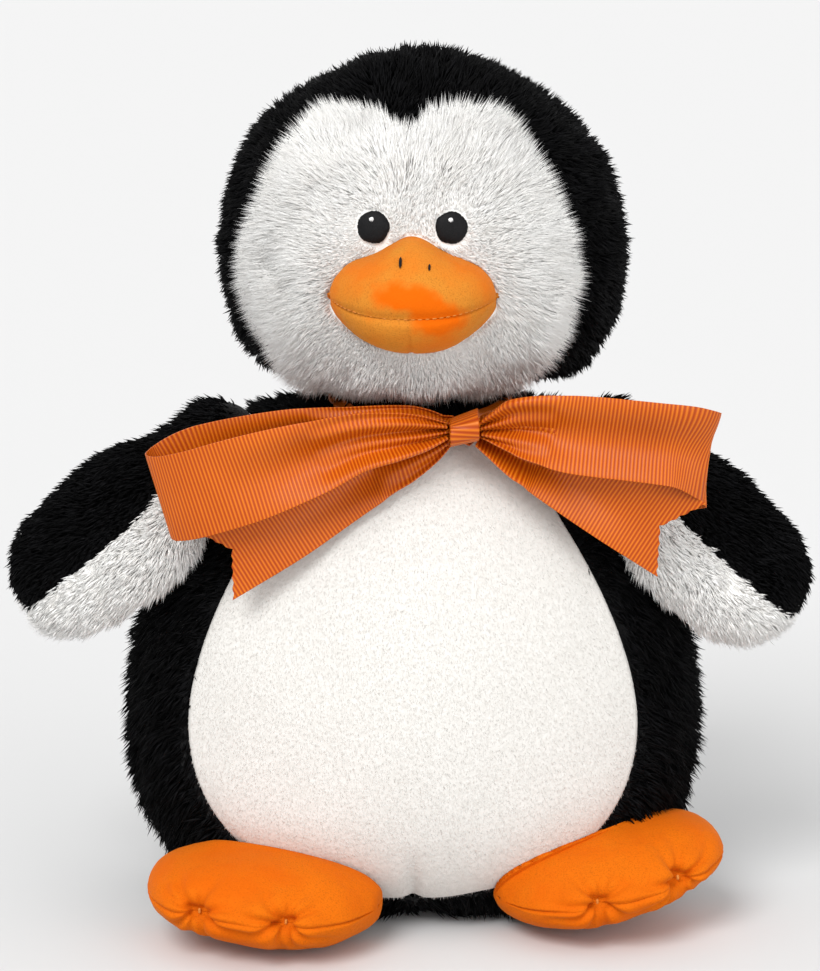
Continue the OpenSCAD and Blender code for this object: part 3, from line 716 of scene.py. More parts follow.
def face_outline(around):
    """The angle from straight ahead at which the face panel's seam lies, all round"""
    low, high = np.full(around.shape, 0.05), np.full(around.shape, 1.5)
    for _ in range(30):
        out = (low + high) / 2
        p = head_point(around, out)
        x, z = p[..., 0], p[..., 2]
        half = np.interp(z, FACE_EDGE_Z, FACE_EDGE_HALF)
        top = FACE_LOBE_Z - FACE_PEAK * bell(x, FACE_SHIFT, 9)
        outside = (np.abs(x - FACE_SHIFT) > half) | (z > top) | (z < FACE_EDGE_Z[0])
        low, high = np.where(outside, low, out), np.where(outside, out, high)
    return (low + high) / 2


def add_hood():
    rows, cols = 76, 76
    for side, name in ((-1, "left"), (1, "right")):
        t = np.linspace(0, 1, cols)
        around = np.radians(90 - 180 * t) if side > 0 else np.radians(270 - 180 * t)
        edge = face_outline(around)
        f = np.linspace(0, 1, rows)[:, None]
        out = edge + (math.pi - 0.02 - edge) * f
        grid = head_point(around[None], out)
        groove = -1.3 * bell(grid[..., 0], 0, 2.5) * (grid[..., 2] > HEAD_WIDEST_Z)
        lumps = 1.5 * noise(grid, 30, 41)[..., 0] + 0.5 * noise(grid, 11, 42)[..., 0]
        grid = grid + grid_normals(grid) * (groove + lumps)[..., None]
        away = np.gradient(grid, axis=0)
        grid, tail = place_head(grid), place_head(grid + away)
        away = unit(tail - grid)
        obj = add_shell(f"hood_skin_{name}", grid, SKIN_T, [BLACK_GROUND])
        finish_piece(obj, "head", "black_fur", f"hood_{name}", padded=0.9)
        high = grid[..., 2]
        comb = 0.75 * away + stack(0, 0, -0.55) + 0.3 * noise(grid, 24, 43)
        length = 7.5 * (0.6 + 0.4 * smooth(0, 0.18, f)) * np.ones_like(high)
        weight = smooth(228, 236, high)
        seed = 50 + side
        for part in pile(f"hood_pile_{name}", grid, BLACK_FUR, length, comb, 0.55, seed, weight, **HOOD_PILE):
            finish_piece(part, "head", "black_fur")


def beak_outline(x):
    """Height of the beak's upper edge on the face, and depth of its lower edge, at a distance across"""
    s = np.clip(np.abs(x) / BEAK_HALF_W, 0, 1)
    edge = (1 - s**4) ** 0.5
    high = 0.72 * edge + 0.28 * bell(s, 0, 0.36) * edge**0.3
    return BEAK_RISE * high, BEAK_DROP * (1 - s**2) ** 0.7


def in_face_frame(p):
    c, s = math.cos(-HEAD_YAW), math.sin(-HEAD_YAW)
    x, y = p[..., 0] - HEAD_X, p[..., 1] - HEAD_Y
    return stack(c * x - s * y, s * x + c * y, p[..., 2])


def on_features(p):
    """Whether a point lies over an eye or the beak"""
    q = in_face_frame(p)
    x, z = q[..., 0], q[..., 2]
    rise, drop = beak_outline(x)
    over_beak = (np.abs(x) < BEAK_HALF_W - 0.5) & (z < BEAK_Z + rise - 0.3) & (z > BEAK_Z - drop + 0.3)
    over_eye = np.zeros(x.shape, bool)
    for side in (-1, 1):
        over_eye |= (x - side * EYE_X) ** 2 + (z - EYE_Z) ** 2 < (EYE_R + 0.2) ** 2
    return (over_beak | over_eye) & (q[..., 1] < 0)


def add_face():
    rows, cols = 60, 180
    around = np.linspace(0, 2 * math.pi, cols, endpoint=False)
    edge = face_outline(around)
    f = np.linspace(0.03, 1, rows)[:, None]
    out = edge * f
    grid = head_point(around[None], out)
    # Cheeks: a little fuller beside the beak
    cheek = 2.0 * bell(np.abs(grid[..., 0]), 48, 18) * bell(grid[..., 2], 268, 20)
    soft = 1.0 * noise(grid, 24, 61)[..., 0]
    grid = grid + unit(grid - [0, 0, HEAD_WIDEST_Z]) * (cheek + soft)[..., None]
    grid = grid[::-1]
    away = -np.gradient(grid, axis=0)
    own = grid
    grid, tail = place_head(grid), place_head(grid + away)
    away = unit(tail - grid)
    obj = add_shell("face_skin", grid, SKIN_T, [WHITE_GROUND], wrap=True)
    finish_piece(obj, "head", "white_fur", "face_panel", padded=0.9)
    closed = np.concatenate([grid, grid[:, :1]], 1)
    away = np.concatenate([away, away[:, :1]], 1)
    own = np.concatenate([own, own[:, :1]], 1)
    x, z = own[..., 0], own[..., 2]
    beak_far = np.hypot(np.maximum(np.abs(x) - 26, 0), np.maximum(np.abs(z - BEAK_Z - 5) - 24, 0))
    eye_far = np.minimum(*[np.hypot(x - s * EYE_X, z - EYE_Z) - EYE_R for s in (-1, 1)])
    near = np.minimum(beak_far, np.maximum(eye_far, 0))
    length = 3.2 + 7.6 * smooth(0, 24, near)
    lean = 0.62 - 0.12 * smooth(0, 30, near)
    comb = away + stack(0, 0, -0.25) + 0.28 * noise(closed, 18, 62)
    # Round the eyes the pile is brushed away from them
    for s in (-1, 1):
        gap = own - np.array([s * EYE_X, -70.0, EYE_Z])
        gap[..., 1] = 0
        comb = comb + 1.6 * bell(np.linalg.norm(gap, axis=-1), 0, 12)[..., None] * unit(gap)
    for part in pile("face_pile", closed, WHITE_FUR, length, comb, lean, 63, avoid=on_features, **FACE_PILE):
        finish_piece(part, "head", "white_fur")


# ---- Beak ----

MOUTH_GAP = 0.24


def beak_point(across, up, rise):
    """across runs from 0 at one corner to pi at the other, up from 0 at the mouth to pi/2 on the face"""
    x = -BEAK_HALF_W * np.cos(across)
    high, deep = beak_outline(x)
    edge = high if rise > 0 else -deep
    z = edge * np.sin(up)
    swell = np.sin(across) ** (0.8 if rise > 0 else 1.0)
    out = BEAK_DEPTH * swell * np.cos(up) ** (0.85 if rise > 0 else 1.0)
    lip = 1.7 * bell(up, 0, 0.09) + 0.8 * bell(up, 0, 0.25)
    smile = 4.0 * (np.abs(x) / BEAK_HALF_W) ** 2.5 * np.cos(up)
    y = -face_depth(x, BEAK_Z + z) - 0.5 - out + lip
    return stack(x, y, BEAK_Z + z + smile + (MOUTH_GAP / 2 if rise > 0 else -MOUTH_GAP / 2))


def add_beak():
    across = np.linspace(0.06, math.pi - 0.06, 120)[None]
    for name, rise in (("beak_top", BEAK_RISE), ("beak_bottom", -BEAK_DROP)):
        up = (np.linspace(0, 1, 56) ** 1.15 * math.pi / 2)[:, None]
        grid = beak_point(across, up, rise)
        if rise < 0:
            grid = grid[::-1]
            centre_seam = -0.7 * bell(grid[..., 0], 0, 0.9)
            grid = grid + grid_normals(grid) * centre_seam[..., None]
        soft = 0.7 * noise(grid, 16, 71)[..., :1] + 0.12 * noise(grid, 2.2, 72)[..., :1]
        grid = grid + grid_normals(grid) * soft
        obj = add_shell(name + "_cover", place_head(grid), COVER_T, [BEAK_VELOUR])
        finish_piece(obj, "head", "orange_velour", name, padded=0.8)


def add_tube(name, points, r, mat, sides=8):
    """A thread along a list of points, tapered at its ends"""
    points = np.asarray(points, float)
    along = unit(np.gradient(points, axis=0))
    side = unit(np.cross(np.array([0.1, 0.3, 1.0]), along))
    other = np.cross(along, side)
    n = len(points)
    ends = np.minimum(1, np.minimum(np.arange(n), np.arange(n)[::-1]) * 0.6 + 0.25)
    k = np.arange(sides) * 2 * math.pi / sides
    ring = np.cos(k)[None, :, None] * side[:, None] + np.sin(k)[None, :, None] * other[:, None]
    return add_closed(name, points[:, None] + (r * ends)[:, None, None] * ring, [mat])


def joined(name, parts):
    """One object from several, keeping the first one's materials"""
    verts, faces, first = [], {}, 0
    for o in parts:
        co = np.empty(len(o.data.vertices) * 3)
        o.data.vertices.foreach_get("co", co)
        verts.append(co.reshape(-1, 3) / MM)
        for poly in o.data.polygons:
            faces.setdefault(len(poly.vertices), []).append([first + v for v in poly.vertices])
        first += len(o.data.vertices)
    faces = [np.array(f) for f in faces.values()]
    made = add_object(name, np.concatenate(verts), faces, [parts[0].data.materials[0]])
    for o in parts:
        bpy.data.objects.remove(o)
    return made


def add_beak_stitches():
    # The mouth's seam: small stitches laid end to end along the groove
    stitches = []
    spots = np.linspace(0.30, math.pi - 0.36, 30)
    for a, b in zip(spots[:-1], spots[1:]):
        across = np.linspace(a + 0.008, b - 0.008, 5)
        p = beak_point(across, np.full(5, 0.0), BEAK_RISE)
        p[:, 1] += 0.1 - 0.2 * np.sin(np.linspace(0, math.pi, 5))
        stitches.append(add_tube("stitch", place_head(p), 0.3, ORANGE_THREAD, 6))
    finish_piece(joined("mouth_stitches", stitches), "head", "orange_thread", "mouth_seam")
    nostrils = []
    for x, low, high, r in ((-3.6, 0.78, 0.98, 0.62), (8.4, 0.80, 0.93, 0.5)):
        across = math.acos(-x / BEAK_HALF_W)
        up = np.linspace(low, high, 7)
        p = beak_point(np.full(7, across), up, BEAK_RISE)
        p[:, 1] -= 0.35
        nostrils.append(add_tube("nostril", place_head(p), r, BLACK_THREAD, 8))
    finish_piece(joined("nostril_threads", nostrils), "head", "black_thread", "nostril_stitches")


# ---- Eyes ----


def on_face(x, z, lift):
    """A point on the face with its outward, sideways and upward directions, in the head's own frame"""
    dx = (face_depth(x + 1, z) - face_depth(x - 1, z)) / 2
    dz = (face_depth(x, z + 1) - face_depth(x, z - 1)) / 2
    out = unit(np.array([-dx, -1.0, -dz]))
    right = unit(np.cross([0, 0, 1.0], out))
    up = np.cross(out, right)
    spot = np.array([x, -float(face_depth(np.array(x), np.array(z))), z]) + out * lift
    return spot, out, right, up


def add_disc(name, centre, out, right, up, r, dome, threads, mat, seed):
    """An embroidered disc: a low dome with raised threads side by side, and a slightly uneven edge"""
    rng = np.random.default_rng(seed)
    rings, spokes = 26, 96
    a = np.linspace(0, 2 * math.pi, spokes, endpoint=False)
    uneven = 1 + 0.02 * np.sin(5 * a + 1) + 0.015 * rng.normal(size=spokes)
    f = np.linspace(1, 0.02, rings)[:, None]
    x, z = r * f * uneven * np.cos(a), r * f * uneven * np.sin(a)
    ridge = 0.16 * np.abs(np.sin(math.pi * (x + 0.25 * z) / threads)) ** 0.6
    lift = dome * np.sqrt(np.maximum(0, 1 - (f * 0.97) ** 2.6)) + ridge * smooth(0, 0.15, 1 - f)
    top = centre + x[..., None] * right + z[..., None] * up + lift[..., None] * out
    skirt = centre + x[:1, :, None] * right + z[:1, :, None] * up - 2.5 * out
    return add_closed(name, place_head(np.concatenate([skirt, top])), [mat])


def add_eyes():
    lights = []
    for side, name in ((-1, "eye_left"), (1, "eye_right")):
        spot, out, right, up = on_face(side * EYE_X, EYE_Z, 0.4)
        obj = add_disc(name + "_disc", spot, out, right, up, EYE_R, 2.6, 0.62, BLACK_THREAD, 80 + side)
        finish_piece(obj, "head", "black_thread", name)
        bright = spot - 0.4 * right + 2.9 * up + 2.0 * out
        lights.append(add_disc("highlight", bright, out, right, up, 1.35, 0.5, 0.5, WHITE_THREAD, 84 + side))
    finish_piece(joined("eye_highlight_threads", lights), "head", "white_thread", "eye_highlights")


# ---- Wings ----

WING_XS = np.concatenate([-WING_ROOT_R * np.cos(np.linspace(0.12, math.pi / 2, 12)),
                          WING_LENGTH * np.sin(np.linspace(0, math.pi / 2 - 0.03, 60))[1:]])
WING_UPPER_SEAM, WING_LOWER_SEAM = math.radians(178), math.radians(-70)
WING_INSET = 1.0  # the wing's ground lies inside its CAD outline, so that its pile reaches it


def wing_axes(side):
    droop = WING_DROOP + (WING_RIGHT_SAG if side > 0 else 0)
    along = np.array([math.cos(droop), 0, -math.sin(droop)])
    lean = math.cos(WING_LEAN)
    down = np.array([-math.sin(droop) * lean, -math.sin(WING_LEAN), -math.cos(droop) * lean])
    return along, down, np.cross(along, down)


def wing_size(x, widest):
    x = np.asarray(x, float)
    swell = np.sin(math.pi / 2 * np.minimum(1, np.maximum(x, 0) / (WING_LENGTH / 2))) ** 2
    tip = rounded(np.maximum(0, x - 0.6 * WING_LENGTH), 0.4 * WING_LENGTH, 2.3)
    root = np.sqrt(np.maximum(0, WING_ROOT_R**2 - np.minimum(x, 0) ** 2))
    return np.where(x < 0, root, (WING_ROOT_R + (widest - WING_ROOT_R) * swell) * tip)


def wing_point(side, x, angle, inset):
    along, down, back = wing_axes(side)
    x, angle = np.broadcast_arrays(x, angle)
    wide = np.maximum(wing_size(x, WING_HALF_W) - inset, 0.2)
    thick = np.maximum(wing_size(x, WING_HALF_T) - inset, 0.2)
    end = x - inset * np.clip(x / WING_LENGTH, 0, 1)
    p = end[..., None] * along + (wide * np.cos(angle))[..., None] * down
    p = p + (thick * np.sin(angle))[..., None] * back
    return (p + WING_PIVOT) * [1 if side > 0 else -1, 1, 1]


def add_wing_part(side, name, black, angle):
    """One side of a wing, between two seams"""
    body, part = f"wing_{name}", "outer" if black else "inner"
    mirror = np.array([1 if side > 0 else -1, 1, 1])
    along, pivot = wing_axes(side)[0] * mirror, WING_PIVOT * mirror
    middle = smooth(0, 30, WING_XS) * smooth(105, 70, WING_XS)
    inset = WING_INSET + 2.2 * bell(np.cos(angle), -1, 0.8) * middle[:, None]
    grid = wing_point(side, WING_XS[:, None], angle, inset)
    if side < 0:
        grid = grid[:, ::-1]
    grid = grid + grid_normals(grid) * (0.8 * noise(grid, 22, 91 + side)[..., :1])
    slot = "black_fur" if black else "white_fur"
    obj = add_shell(f"{body}_{part}_skin", grid, COVER_T, [BLACK_GROUND if black else WHITE_GROUND])
    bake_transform(obj)
    finish_piece(obj, None, slot, f"{body}_{part}", padded=0.7)
    seams = np.minimum(*[np.linalg.norm(grid - edge, axis=-1) for edge in (grid[:, :1], grid[:, -1:])])
    length = (7.5 if black else 8.0) * (0.55 + 0.45 * smooth(0, 14, seams))
    comb = np.broadcast_to(along, grid.shape) + stack(0, 0, -0.25) + 0.3 * noise(grid, 18, 93)
    weight = smooth(-16, -8, np.broadcast_to(WING_XS[:, None], grid.shape[:2]))
    fur, density = (BLACK_FUR, WING_BLACK_PILE) if black else (WHITE_FUR, WING_WHITE_PILE)
    seed = 95 + side + (10 if black else 0)
    for extra in pile(f"{body}_{part}_pile", grid, fur, length, comb, 0.6, seed, weight, **density):
        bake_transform(extra)
        finish_piece(extra, None, slot)


def add_wings():
    for side, name in ((-1, "left"), (1, "right")):
        add_wing_part(side, name, True, np.linspace(WING_UPPER_SEAM, WING_LOWER_SEAM + 2 * math.pi, 46)[None])
        add_wing_part(side, name, False, np.linspace(WING_LOWER_SEAM, WING_UPPER_SEAM, 56)[None])


# ---- Feet ----

# Each foot: its side, the middle of its back edge, its turn outward, and its outer side's lift
FEET = {
    "left": (-1, -62, -46, math.radians(-13), math.radians(3)),
    "right": (1, 81, -24, math.radians(20), math.radians(10)),
}
TOE_GAPS = (math.radians(68), math.radians(112))
FOOT_CLEAR = 1.6  # between a foot's back and the body


def body_front_y(x, z):
    return BODY_Y - body_front(z) * np.sqrt(np.maximum(0, 1 - (x / (BODY_HALF_W * body_size(z))) ** 2))


def foot_point(foot, across, up):
    """across runs from 0 to pi over the foot's width, and up from 0 at the front seam to pi at the back.

    up is below 0 on the sole.
    """
    side, px, py, yaw, lift = foot
    swell = np.sin(across) ** 0.8
    toes = 2.6 * np.abs(np.sin((across - TOE_GAPS[0]) / (TOE_GAPS[1] - TOE_GAPS[0]) * math.pi)) ** 0.7
    toes = toes * bell(up, 0, 0.9) * smooth(0.25, 0.9, swell)
    pinch = sum(bell(across, g, 0.1) * bell(up, 0.03, 0.4) for g in TOE_GAPS)
    u = -FOOT_HALF_W * np.cos(across)
    reach = FOOT_HALF_L * swell - 4.5 * pinch + toes
    l = soft_max(FOOT_CENTRE + reach * np.cos(up), 0, 5)
    puff = 1 - 0.16 * pinch
    h = FOOT_HALF_H * swell * puff * np.sin(up) + FOOT_HALF_H
    raised = h * math.cos(lift) + (u * side + FOOT_HALF_W * 0.7) * math.sin(lift)
    tip = side * lift
    x = px + u * math.cos(tip) * math.cos(yaw) + l * math.sin(yaw)
    y = py + u * math.cos(tip) * math.sin(yaw) - l * math.cos(yaw)
    z = np.maximum(raised, FLOOR_GAP)
    return stack(x, -soft_max(-y, FOOT_CLEAR - body_front_y(x, z), 3), z)


FOLD_RAYS = (158, 118, 78, 34, -30, -72, -112, -152)  # the way each fold runs from a gather, in degrees


def creases(across, up, turn):
    """Folds that radiate from the stitched toe gaps, with the fabric swelling between them"""
    total = np.zeros(np.broadcast(across, up).shape)
    for k, g in enumerate(TOE_GAPS):
        dx, dz = (across - g) * FOOT_HALF_W * 0.9, up * FOOT_HALF_H * 1.15
        r = np.hypot(dx, dz)
        total = total + 1.8 * bell(r, 11, 7) - 1.8 * bell(r, 0, 3.5)
        for n, ray in enumerate(FOLD_RAYS):
            a = math.radians(ray + 9 * math.sin(2.3 * n + 1.7 * k + turn))
            along = dx * math.cos(a) + dz * math.sin(a)
            off = dz * math.cos(a) - dx * math.sin(a)
            off = off + 0.6 * np.sin(along * 0.3 + n)
            deep = 3.0 + 0.8 * math.sin(1.9 * n + k)
            wide = 0.9 + 0.11 * np.maximum(along, 0)
            total = total - deep * bell(off, 0, wide) * smooth(0, 3, along) * bell(along, 7, 13)
    return total


def add_feet():
    for name, foot in FEET.items():
        body = f"foot_{name}"
        across = np.linspace(0.015, math.pi - 0.015, 170)[None]
        for part, sign in (("top", 1), ("sole", -1)):
            up = sign * (np.linspace(0, 1, 72) ** 1.25 * (math.pi - 0.03))[:, None]
            grid = foot_point(foot, across, up)
            if sign < 0:
                grid = grid[::-1]
                up = up[::-1]
            normal = grid_normals(grid)
            seam = -1.3 * bell(up, 0, 0.05) + 0.5 * bell(up, 0, 0.2)
            fold = creases(across, up, foot[0]) * bell(up, 0, 1.5)
            soft = 1.3 * noise(grid, 20, 101)[..., 0] + 0.12 * noise(grid, 3.0, 102)[..., 0]
            gap = body_front_y(grid[..., 0], grid[..., 2]) - FOOT_CLEAR - grid[..., 1]
            free = smooth(0.5, 6, gap) * smooth(0.02, 0.3, np.sin(across))
            grid = grid + normal * ((seam + fold + soft) * free)[..., None]
            grid[..., 2] = np.maximum(grid[..., 2], FLOOR_GAP)
            obj = add_shell(f"foot_{name}_{part}_cover", grid, COVER_T, [FOOT_VELOUR])
            finish_piece(obj, body, "orange_velour", f"foot_{name}_{part}", padded=0.75)
        threads = []
        for g in TOE_GAPS:
            up = np.linspace(-0.06, 0.09, 9)
            p = foot_point(foot, np.full(9, g), up)
            p[:, 1] += 1.2
            threads.append(add_tube("gather", p, 0.65, ORANGE_THREAD, 8))
        gathers = joined(f"foot_{name}_gather_threads", threads)
        finish_piece(gathers, body, "orange_thread", f"foot_{name}_gathers")


# ---- Ribbon ----

RIB_DEPTH = 0.11
SELVEDGE = 1.3  # width of the plain edge, without ribs
RIBBON_T = 0.55
RIBBON_ROWS = 5  # rows of points to a rib
BAND_R, BAND_Z, BAND_HALF_W = 38, 223.5, 6.5  # the pleated turn round the neck
BROADEST = 1.2  # how far the ribbon narrows by hollowing before it starts to pleat


def curve(points, t):
    """Catmull-Rom curve through points, t counted in points"""
    last = len(points) - 1
    i = np.minimum(np.floor(t).astype(int), last - 1)
    f = (t - i)[:, None]
    p0, p1 = points[np.maximum(i - 1, 0)], points[i]
    p2, p3 = points[i + 1], points[np.minimum(i + 2, last)]
    square, cube = 2 * p0 - 5 * p1 + 4 * p2 - p3, 3 * p1 - p0 - 3 * p2 + p3
    return 0.5 * (2 * p1 + (p2 - p0) * f + square * f**2 + cube * f**3)


def add_ribbon(name, points, up, pleats=3, notch=0.0, phase=0.0, thirds=False):
    """A length of ribbon along points of [x, y, z, half width], with up the way its upper edge points.

    Where it is narrower than the ribbon the cloth sinks back in one broad hollow, then into pleats as well,
    or with thirds it is folded flat in three. notch cuts a V into its far end.
    """
    points = np.array(points, float)
    fine = curve(points, np.linspace(0, len(points) - 1, 400))
    steps = np.linalg.norm(np.diff(fine[:, :3], axis=0), axis=1)
    arc = np.concatenate([[0], np.cumsum(steps)])
    total = arc[-1]
    rows = int(total / (RIB_PITCH / RIBBON_ROWS))
    v = np.concatenate([[-1, -0.985, -0.95], np.linspace(-0.92, 0.92, 45), [0.95, 0.985, 1]])
    s = np.linspace(0, 1, rows)[:, None] * np.ones_like(v)[None]
    zigzag = 0.9 * np.abs(((v * 9) % 2) - 1)
    length = total - notch * (1 - np.abs(v)) - (zigzag if notch else 0)
    far = smooth(0.55, 1, s)
    s = s * (total * (1 - far) + length[None] * far)
    spine = np.stack([np.interp(s, arc, fine[:, k]) for k in range(4)], -1)
    tangent = np.gradient(fine[:, :3], axis=0)
    along = unit(np.stack([np.interp(s, arc, tangent[:, k]) for k in range(3)], -1))
    ref = unit(np.array(up, float))
    # Where the ribbon turns back it stays upright and doesn't twist
    turning = 1 - 0.9 * smooth(0.4, 0.9, np.abs(along[..., 1]))
    cross = unit(ref - along * (turning * (along @ ref))[..., None])
    normal = np.cross(along, cross)
    half = spine[..., 3]
    ratio = np.maximum(RIBBON_W / np.maximum(2 * half, 1), 1)
    across = v[None] * half
    edge = smooth(0, SELVEDGE / (RIBBON_W / 2), 1 - np.abs(v))[None]
    ribs = RIB_DEPTH * np.sin(2 * math.pi * s / RIB_PITCH) * edge
    if thirds:
        turn = 3 * v[None]
        across = half * (2 / math.pi) * np.arcsin(0.985 * np.sin(math.pi / 2 * turn))
        folds = 0.5 * turn
    else:
        broad = np.minimum(ratio, BROADEST)
        hollow = half * np.sqrt(2 * (broad**2 - 1)) / math.pi
        hollow = hollow * np.cos(math.pi * v[None] + 0.5) * normal[..., 1]
        pleat = half * np.sqrt(2 * ((ratio / broad) ** 2 - 1)) / (math.pi * pleats)
        folds = hollow + pleat * np.sin(math.pi * pleats * v[None] + phase + 0.012 * s)
    drift = 0.9 * noise(spine[..., :3], 26, 7)[..., 0]
    base = spine[..., :3] + across[..., None] * cross + (folds + drift)[..., None] * normal
    surface = grid_normals(base)
    front = base + surface * (RIBBON_T / 2 + ribs)[..., None]
    back = base - surface * (RIBBON_T / 2 + ribs)[..., None]
    obj = add_layers(name + "_cloth", front, back, [GROSGRAIN])
    uv = np.stack([(v[None] * RIBBON_W / 2 * MM) * np.ones_like(s), s * MM], -1).reshape(-1, 2)
    uv = np.concatenate([uv, uv])
    corners = np.empty(len(obj.data.loops), np.int32)
    obj.data.loops.foreach_get("vertex_index", corners)
    layer = obj.data.uv_layers.new(name="cloth")
    layer.data.foreach_set("uv", uv[corners].astype(np.float32).ravel())
    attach(obj, "torso")
    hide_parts(name)


def add_bow():
    """The bow. g is a strip's half width where the knot grips it, and full the flat ribbon's"""
    g = 3.5
    full = RIBBON_W / 2
    add_ribbon("ribbon_loop_left", [
        [14, -53, 225.5, g], [4, -56, 225, 7.5], [-9, -60, 224.5, 10.5], [-25, -63, 222.5, 12.8],
        [-45, -65, 216, 16.3], [-69, -66, 208, 18.7], [-92, -64, 200.5, full], [-104, -58, 197, full],
        [-108.5, -51, 197, full],
        [-103, -44, 200, full], [-87, -42.5, 207.5, full], [-51, -44, 217, 17], [-25, -45, 222.5, 12.5],
        [-6, -44, 226, 9], [4, -43, 226.5, 7], [14, -42, 226, g],
    ], (-0.28, 0, 0.96))
    add_ribbon("ribbon_loop_right", [
        [29, -42, 226, g], [38, -42, 224, 8], [50, -43, 220, 12.5], [70, -43, 216, 17],
        [97, -42, 211.5, full], [117, -43, 208.5, full], [126.5, -51, 213, full], [117, -59, 219.5, 18],
        [102, -62, 222.5, 17.5],
        [70, -62, 226, 17], [56, -61, 228, 15], [45, -59, 228.5, 12.5], [38, -56, 227.5, 9],
        [29, -53, 226, g],
    ], (0.12, 0, 0.99), phase=0.8)
    add_ribbon("ribbon_tail_left", [
        [15, -47, 221, g], [7, -48, 217.5, 7.5], [-5, -49, 213.5, 12], [-24, -51, 207.5, 17],
        [-55, -56, 188, 18.7], [-87, -57, 168.5, full],
    ], (0, 0, 1), pleats=2, notch=11, phase=0.5)
    add_ribbon("ribbon_tail_right", [
        [28, -47, 222, g], [37, -48, 219.5, 8], [47, -50, 216.5, 12.5], [60, -52, 212, 16.5],
        [90, -55, 194, 18.7], [115, -55, 178, full],
    ], (0, 0, 1), pleats=2, notch=11, phase=1.2)
    add_ribbon("ribbon_knot", [
        [21.5, -44, 222, 7.2], [21.5, -51, 220.8, 7], [21.8, -57, 222.5, 6.8], [22, -58.8, 226.2, 6.8],
        [22, -57, 229.6, 7], [22, -51, 231, 7.1], [22, -44, 230, 7.2],
    ], (1, 0, 0.3), thirds=True)
    band = []
    for a in np.radians(np.linspace(-68, 248, 19)):
        reach = BAND_R + 16 * max(0, -math.sin(a)) ** 3
        x, y = HEAD_X + BAND_R * math.cos(a), HEAD_Y - 1 + reach * math.sin(a)
        band.append([x, y, BAND_Z + 2.5 * math.sin(a), BAND_HALF_W])
    band[0][:3] = [24, -45, 224]
    band[-1][:3] = [18, -45, 224]
    add_ribbon("ribbon_neck_band", band, (0, 0, 1), pleats=3)


# ---- What the skins hold ----

# How much deeper than the CAD's stuffing the fibre lies, where the skin dips below the CAD's
LIMBS = ("head", "foot_left", "foot_right", "wing_left", "wing_right")
FILLING_CLEAR = {f"{limb}_stuffing": 4.5 for limb in LIMBS} | {"body_stuffing": 4.0}
FILLING_VOXEL = 4  # size of the remeshed filling's faces


def add_filling():
    """Lumpy masses of fibre from the CAD's stuffing, which lie inside the skins"""
    owner = {n: b for b, nodes in frame["record"]["behaviour"]["bodies"].items() for n in nodes}
    for n, obj in frame["nodes"].items():
        bag = n == "pellet_bag"
        if not (n.endswith("_stuffing") or bag):
            continue
        mesh = obj.data.copy()
        made = bpy.data.objects.new(n + "_mass", mesh)
        bpy.context.scene.collection.objects.link(made)
        made.matrix_world = obj.matrix_world
        remesh = made.modifiers.new("remesh", "REMESH")
        remesh.mode, remesh.voxel_size, remesh.use_smooth_shade = "VOXEL", FILLING_VOXEL * MM, True
        graph = bpy.context.evaluated_depsgraph_get()
        fresh = bpy.data.meshes.new_from_object(made.evaluated_get(graph))
        made.modifiers.clear()
        made.data = fresh
        co, no = np.empty(len(fresh.vertices) * 3), np.empty(len(fresh.vertices) * 3)
        fresh.vertices.foreach_get("co", co)
        fresh.vertices.foreach_get("normal", no)
        co, no = co.reshape(-1, 3) / MM, no.reshape(-1, 3)
        lumps = 0.5 + 0.5 * noise(co, 6 if bag else 16, 111)[:, :1]
        co = co - no * (FILLING_CLEAR.get(n, 1.5) + 1.4 * lumps)
        fresh.vertices.foreach_set("co", (co * MM).astype(np.float32).ravel())
        fresh.materials.clear()
        fresh.materials.append(BAG if bag else FIBRE)
        finish_piece(made, owner[n], "pellet_bag_cotton" if bag else "fibre_fill", n, padded=0.8)


NECK_LOW_Z, NECK_HIGH_Z, NECK_BLEND = 214, 241, (0.216, 0.236)  # the sleeve's ends, and its blend in metres


def add_neck():
    """The fur sleeve that joins the body to the head under the ribbon"""
    a = np.linspace(0, 2 * math.pi, 96, endpoint=False)
    z = np.linspace(NECK_LOW_Z, NECK_HIGH_Z, 14)[:, None]
    r = NECK_R + 4.5 + 1.0 * np.sin((z - NECK_LOW_Z) / (NECK_HIGH_Z - NECK_LOW_Z) * math.pi)
    grid = stack(HEAD_X + r * np.sin(a), HEAD_Y - r * np.cos(a), z + 0 * a)
    obj = add_shell("neck_sleeve", grid, COVER_T, [BLACK_GROUND], wrap=True)
    closed = np.concatenate([grid, grid[:, :1]], 1)
    comb = stack(0, 0, -1.0) * np.ones_like(closed)
    for o in [obj] + pile("neck_pile", closed, BLACK_FUR, 6.0, comb, 0.5, 121, **NECK_PILE):
        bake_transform(o)
        finish_piece(o, None, "black_fur")


def add_closing_stitches():
    loops = []
    for z in 46 + 7.0 * np.arange(9):
        x = np.linspace(-3, 3, 7)
        p = stack(x, 0, z + 0.8 * np.sin(x))
        p[:, 1] = BODY_Y + BODY_BACK * body_size(z) + 0.8 + 0.5 * np.cos(x / 3 * math.pi / 2)
        loops.append(add_tube("closing", p, 0.4, BLACK_THREAD, 6))
    finish_piece(joined("closing_threads", loops), "torso", "black_thread", "closing_stitches")


# ---- Setting ----


FLOOR_HALF, FLOOR_Z, FLOOR_GREY = 9000, -0.05, 0.64
WORLD_STRENGTH = 0.92
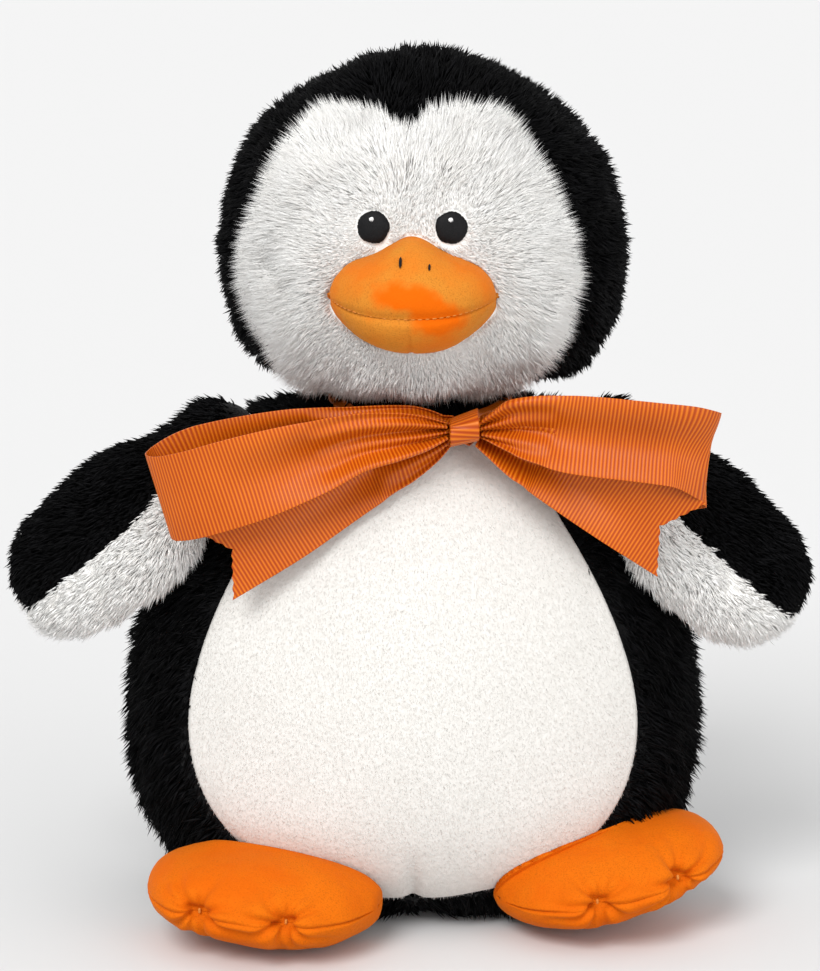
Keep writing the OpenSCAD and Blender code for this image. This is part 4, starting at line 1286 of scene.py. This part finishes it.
# Each lamp: its name, where it shines from, its spread in degrees and its strength
LAMPS = (("key", (-0.6, -1.2, 1.5), 30, 2.0), ("fill", (1.2, -1.5, 0.35), 50, 1.3))
TARGET = Vector((0, 0, 0.19))  # what the lamps and the camera point at, in metres
CAMERA_ELEVATION, CAMERA_DISTANCE, CAMERA_LENS, CAMERA_SHIFT = math.radians(12.5), 1.7, 143.3, -0.003


def add_setting():
    scene = bpy.context.scene
    corners = np.array([[-1, -1, 0], [1, -1, 0], [1, 1, 0], [-1, 1, 0]]) * FLOOR_HALF + [0, 0, FLOOR_Z]
    paper = material("floor_paper", (FLOOR_GREY, FLOOR_GREY, FLOOR_GREY), 0.9, 0, 0.1)
    add_object("floor", corners, [np.array([[0, 1, 2, 3]])], [paper], False)
    world = bpy.data.worlds.new("studio")
    world.use_nodes = True
    world.node_tree.nodes["Background"].inputs["Color"].default_value = (1.0, 1.0, 1.0, 1)
    world.node_tree.nodes["Background"].inputs["Strength"].default_value = WORLD_STRENGTH
    scene.world = world
    for name, spot, spread_deg, strength in LAMPS:
        lamp = bpy.data.lights.new(name, "SUN")
        lamp.angle, lamp.energy = math.radians(spread_deg), strength
        obj = bpy.data.objects.new(name, lamp)
        scene.collection.objects.link(obj)
        obj.location = spot
        obj.rotation_euler = (TARGET - Vector(spot)).to_track_quat("-Z", "Y").to_euler()
    scene.view_settings.view_transform = "Standard"
    camera = bpy.data.objects.new("camera", bpy.data.cameras.new("camera"))
    scene.collection.objects.link(camera)
    back = Vector((0, -math.cos(CAMERA_ELEVATION), math.sin(CAMERA_ELEVATION)))
    camera.location = TARGET + back * CAMERA_DISTANCE
    camera.rotation_euler = (-back).to_track_quat("-Z", "Y").to_euler()
    camera.data.lens, camera.data.shift_x = CAMERA_LENS, CAMERA_SHIFT
    camera.data.clip_start, camera.data.clip_end = 0.05, 40
    scene.camera = camera


add_body()
add_belly()
add_hood()
add_face()
add_beak()
add_beak_stitches()
add_eyes()
add_wings()
add_feet()
add_bow()
add_neck()
add_closing_stitches()
add_filling()
add_setting()
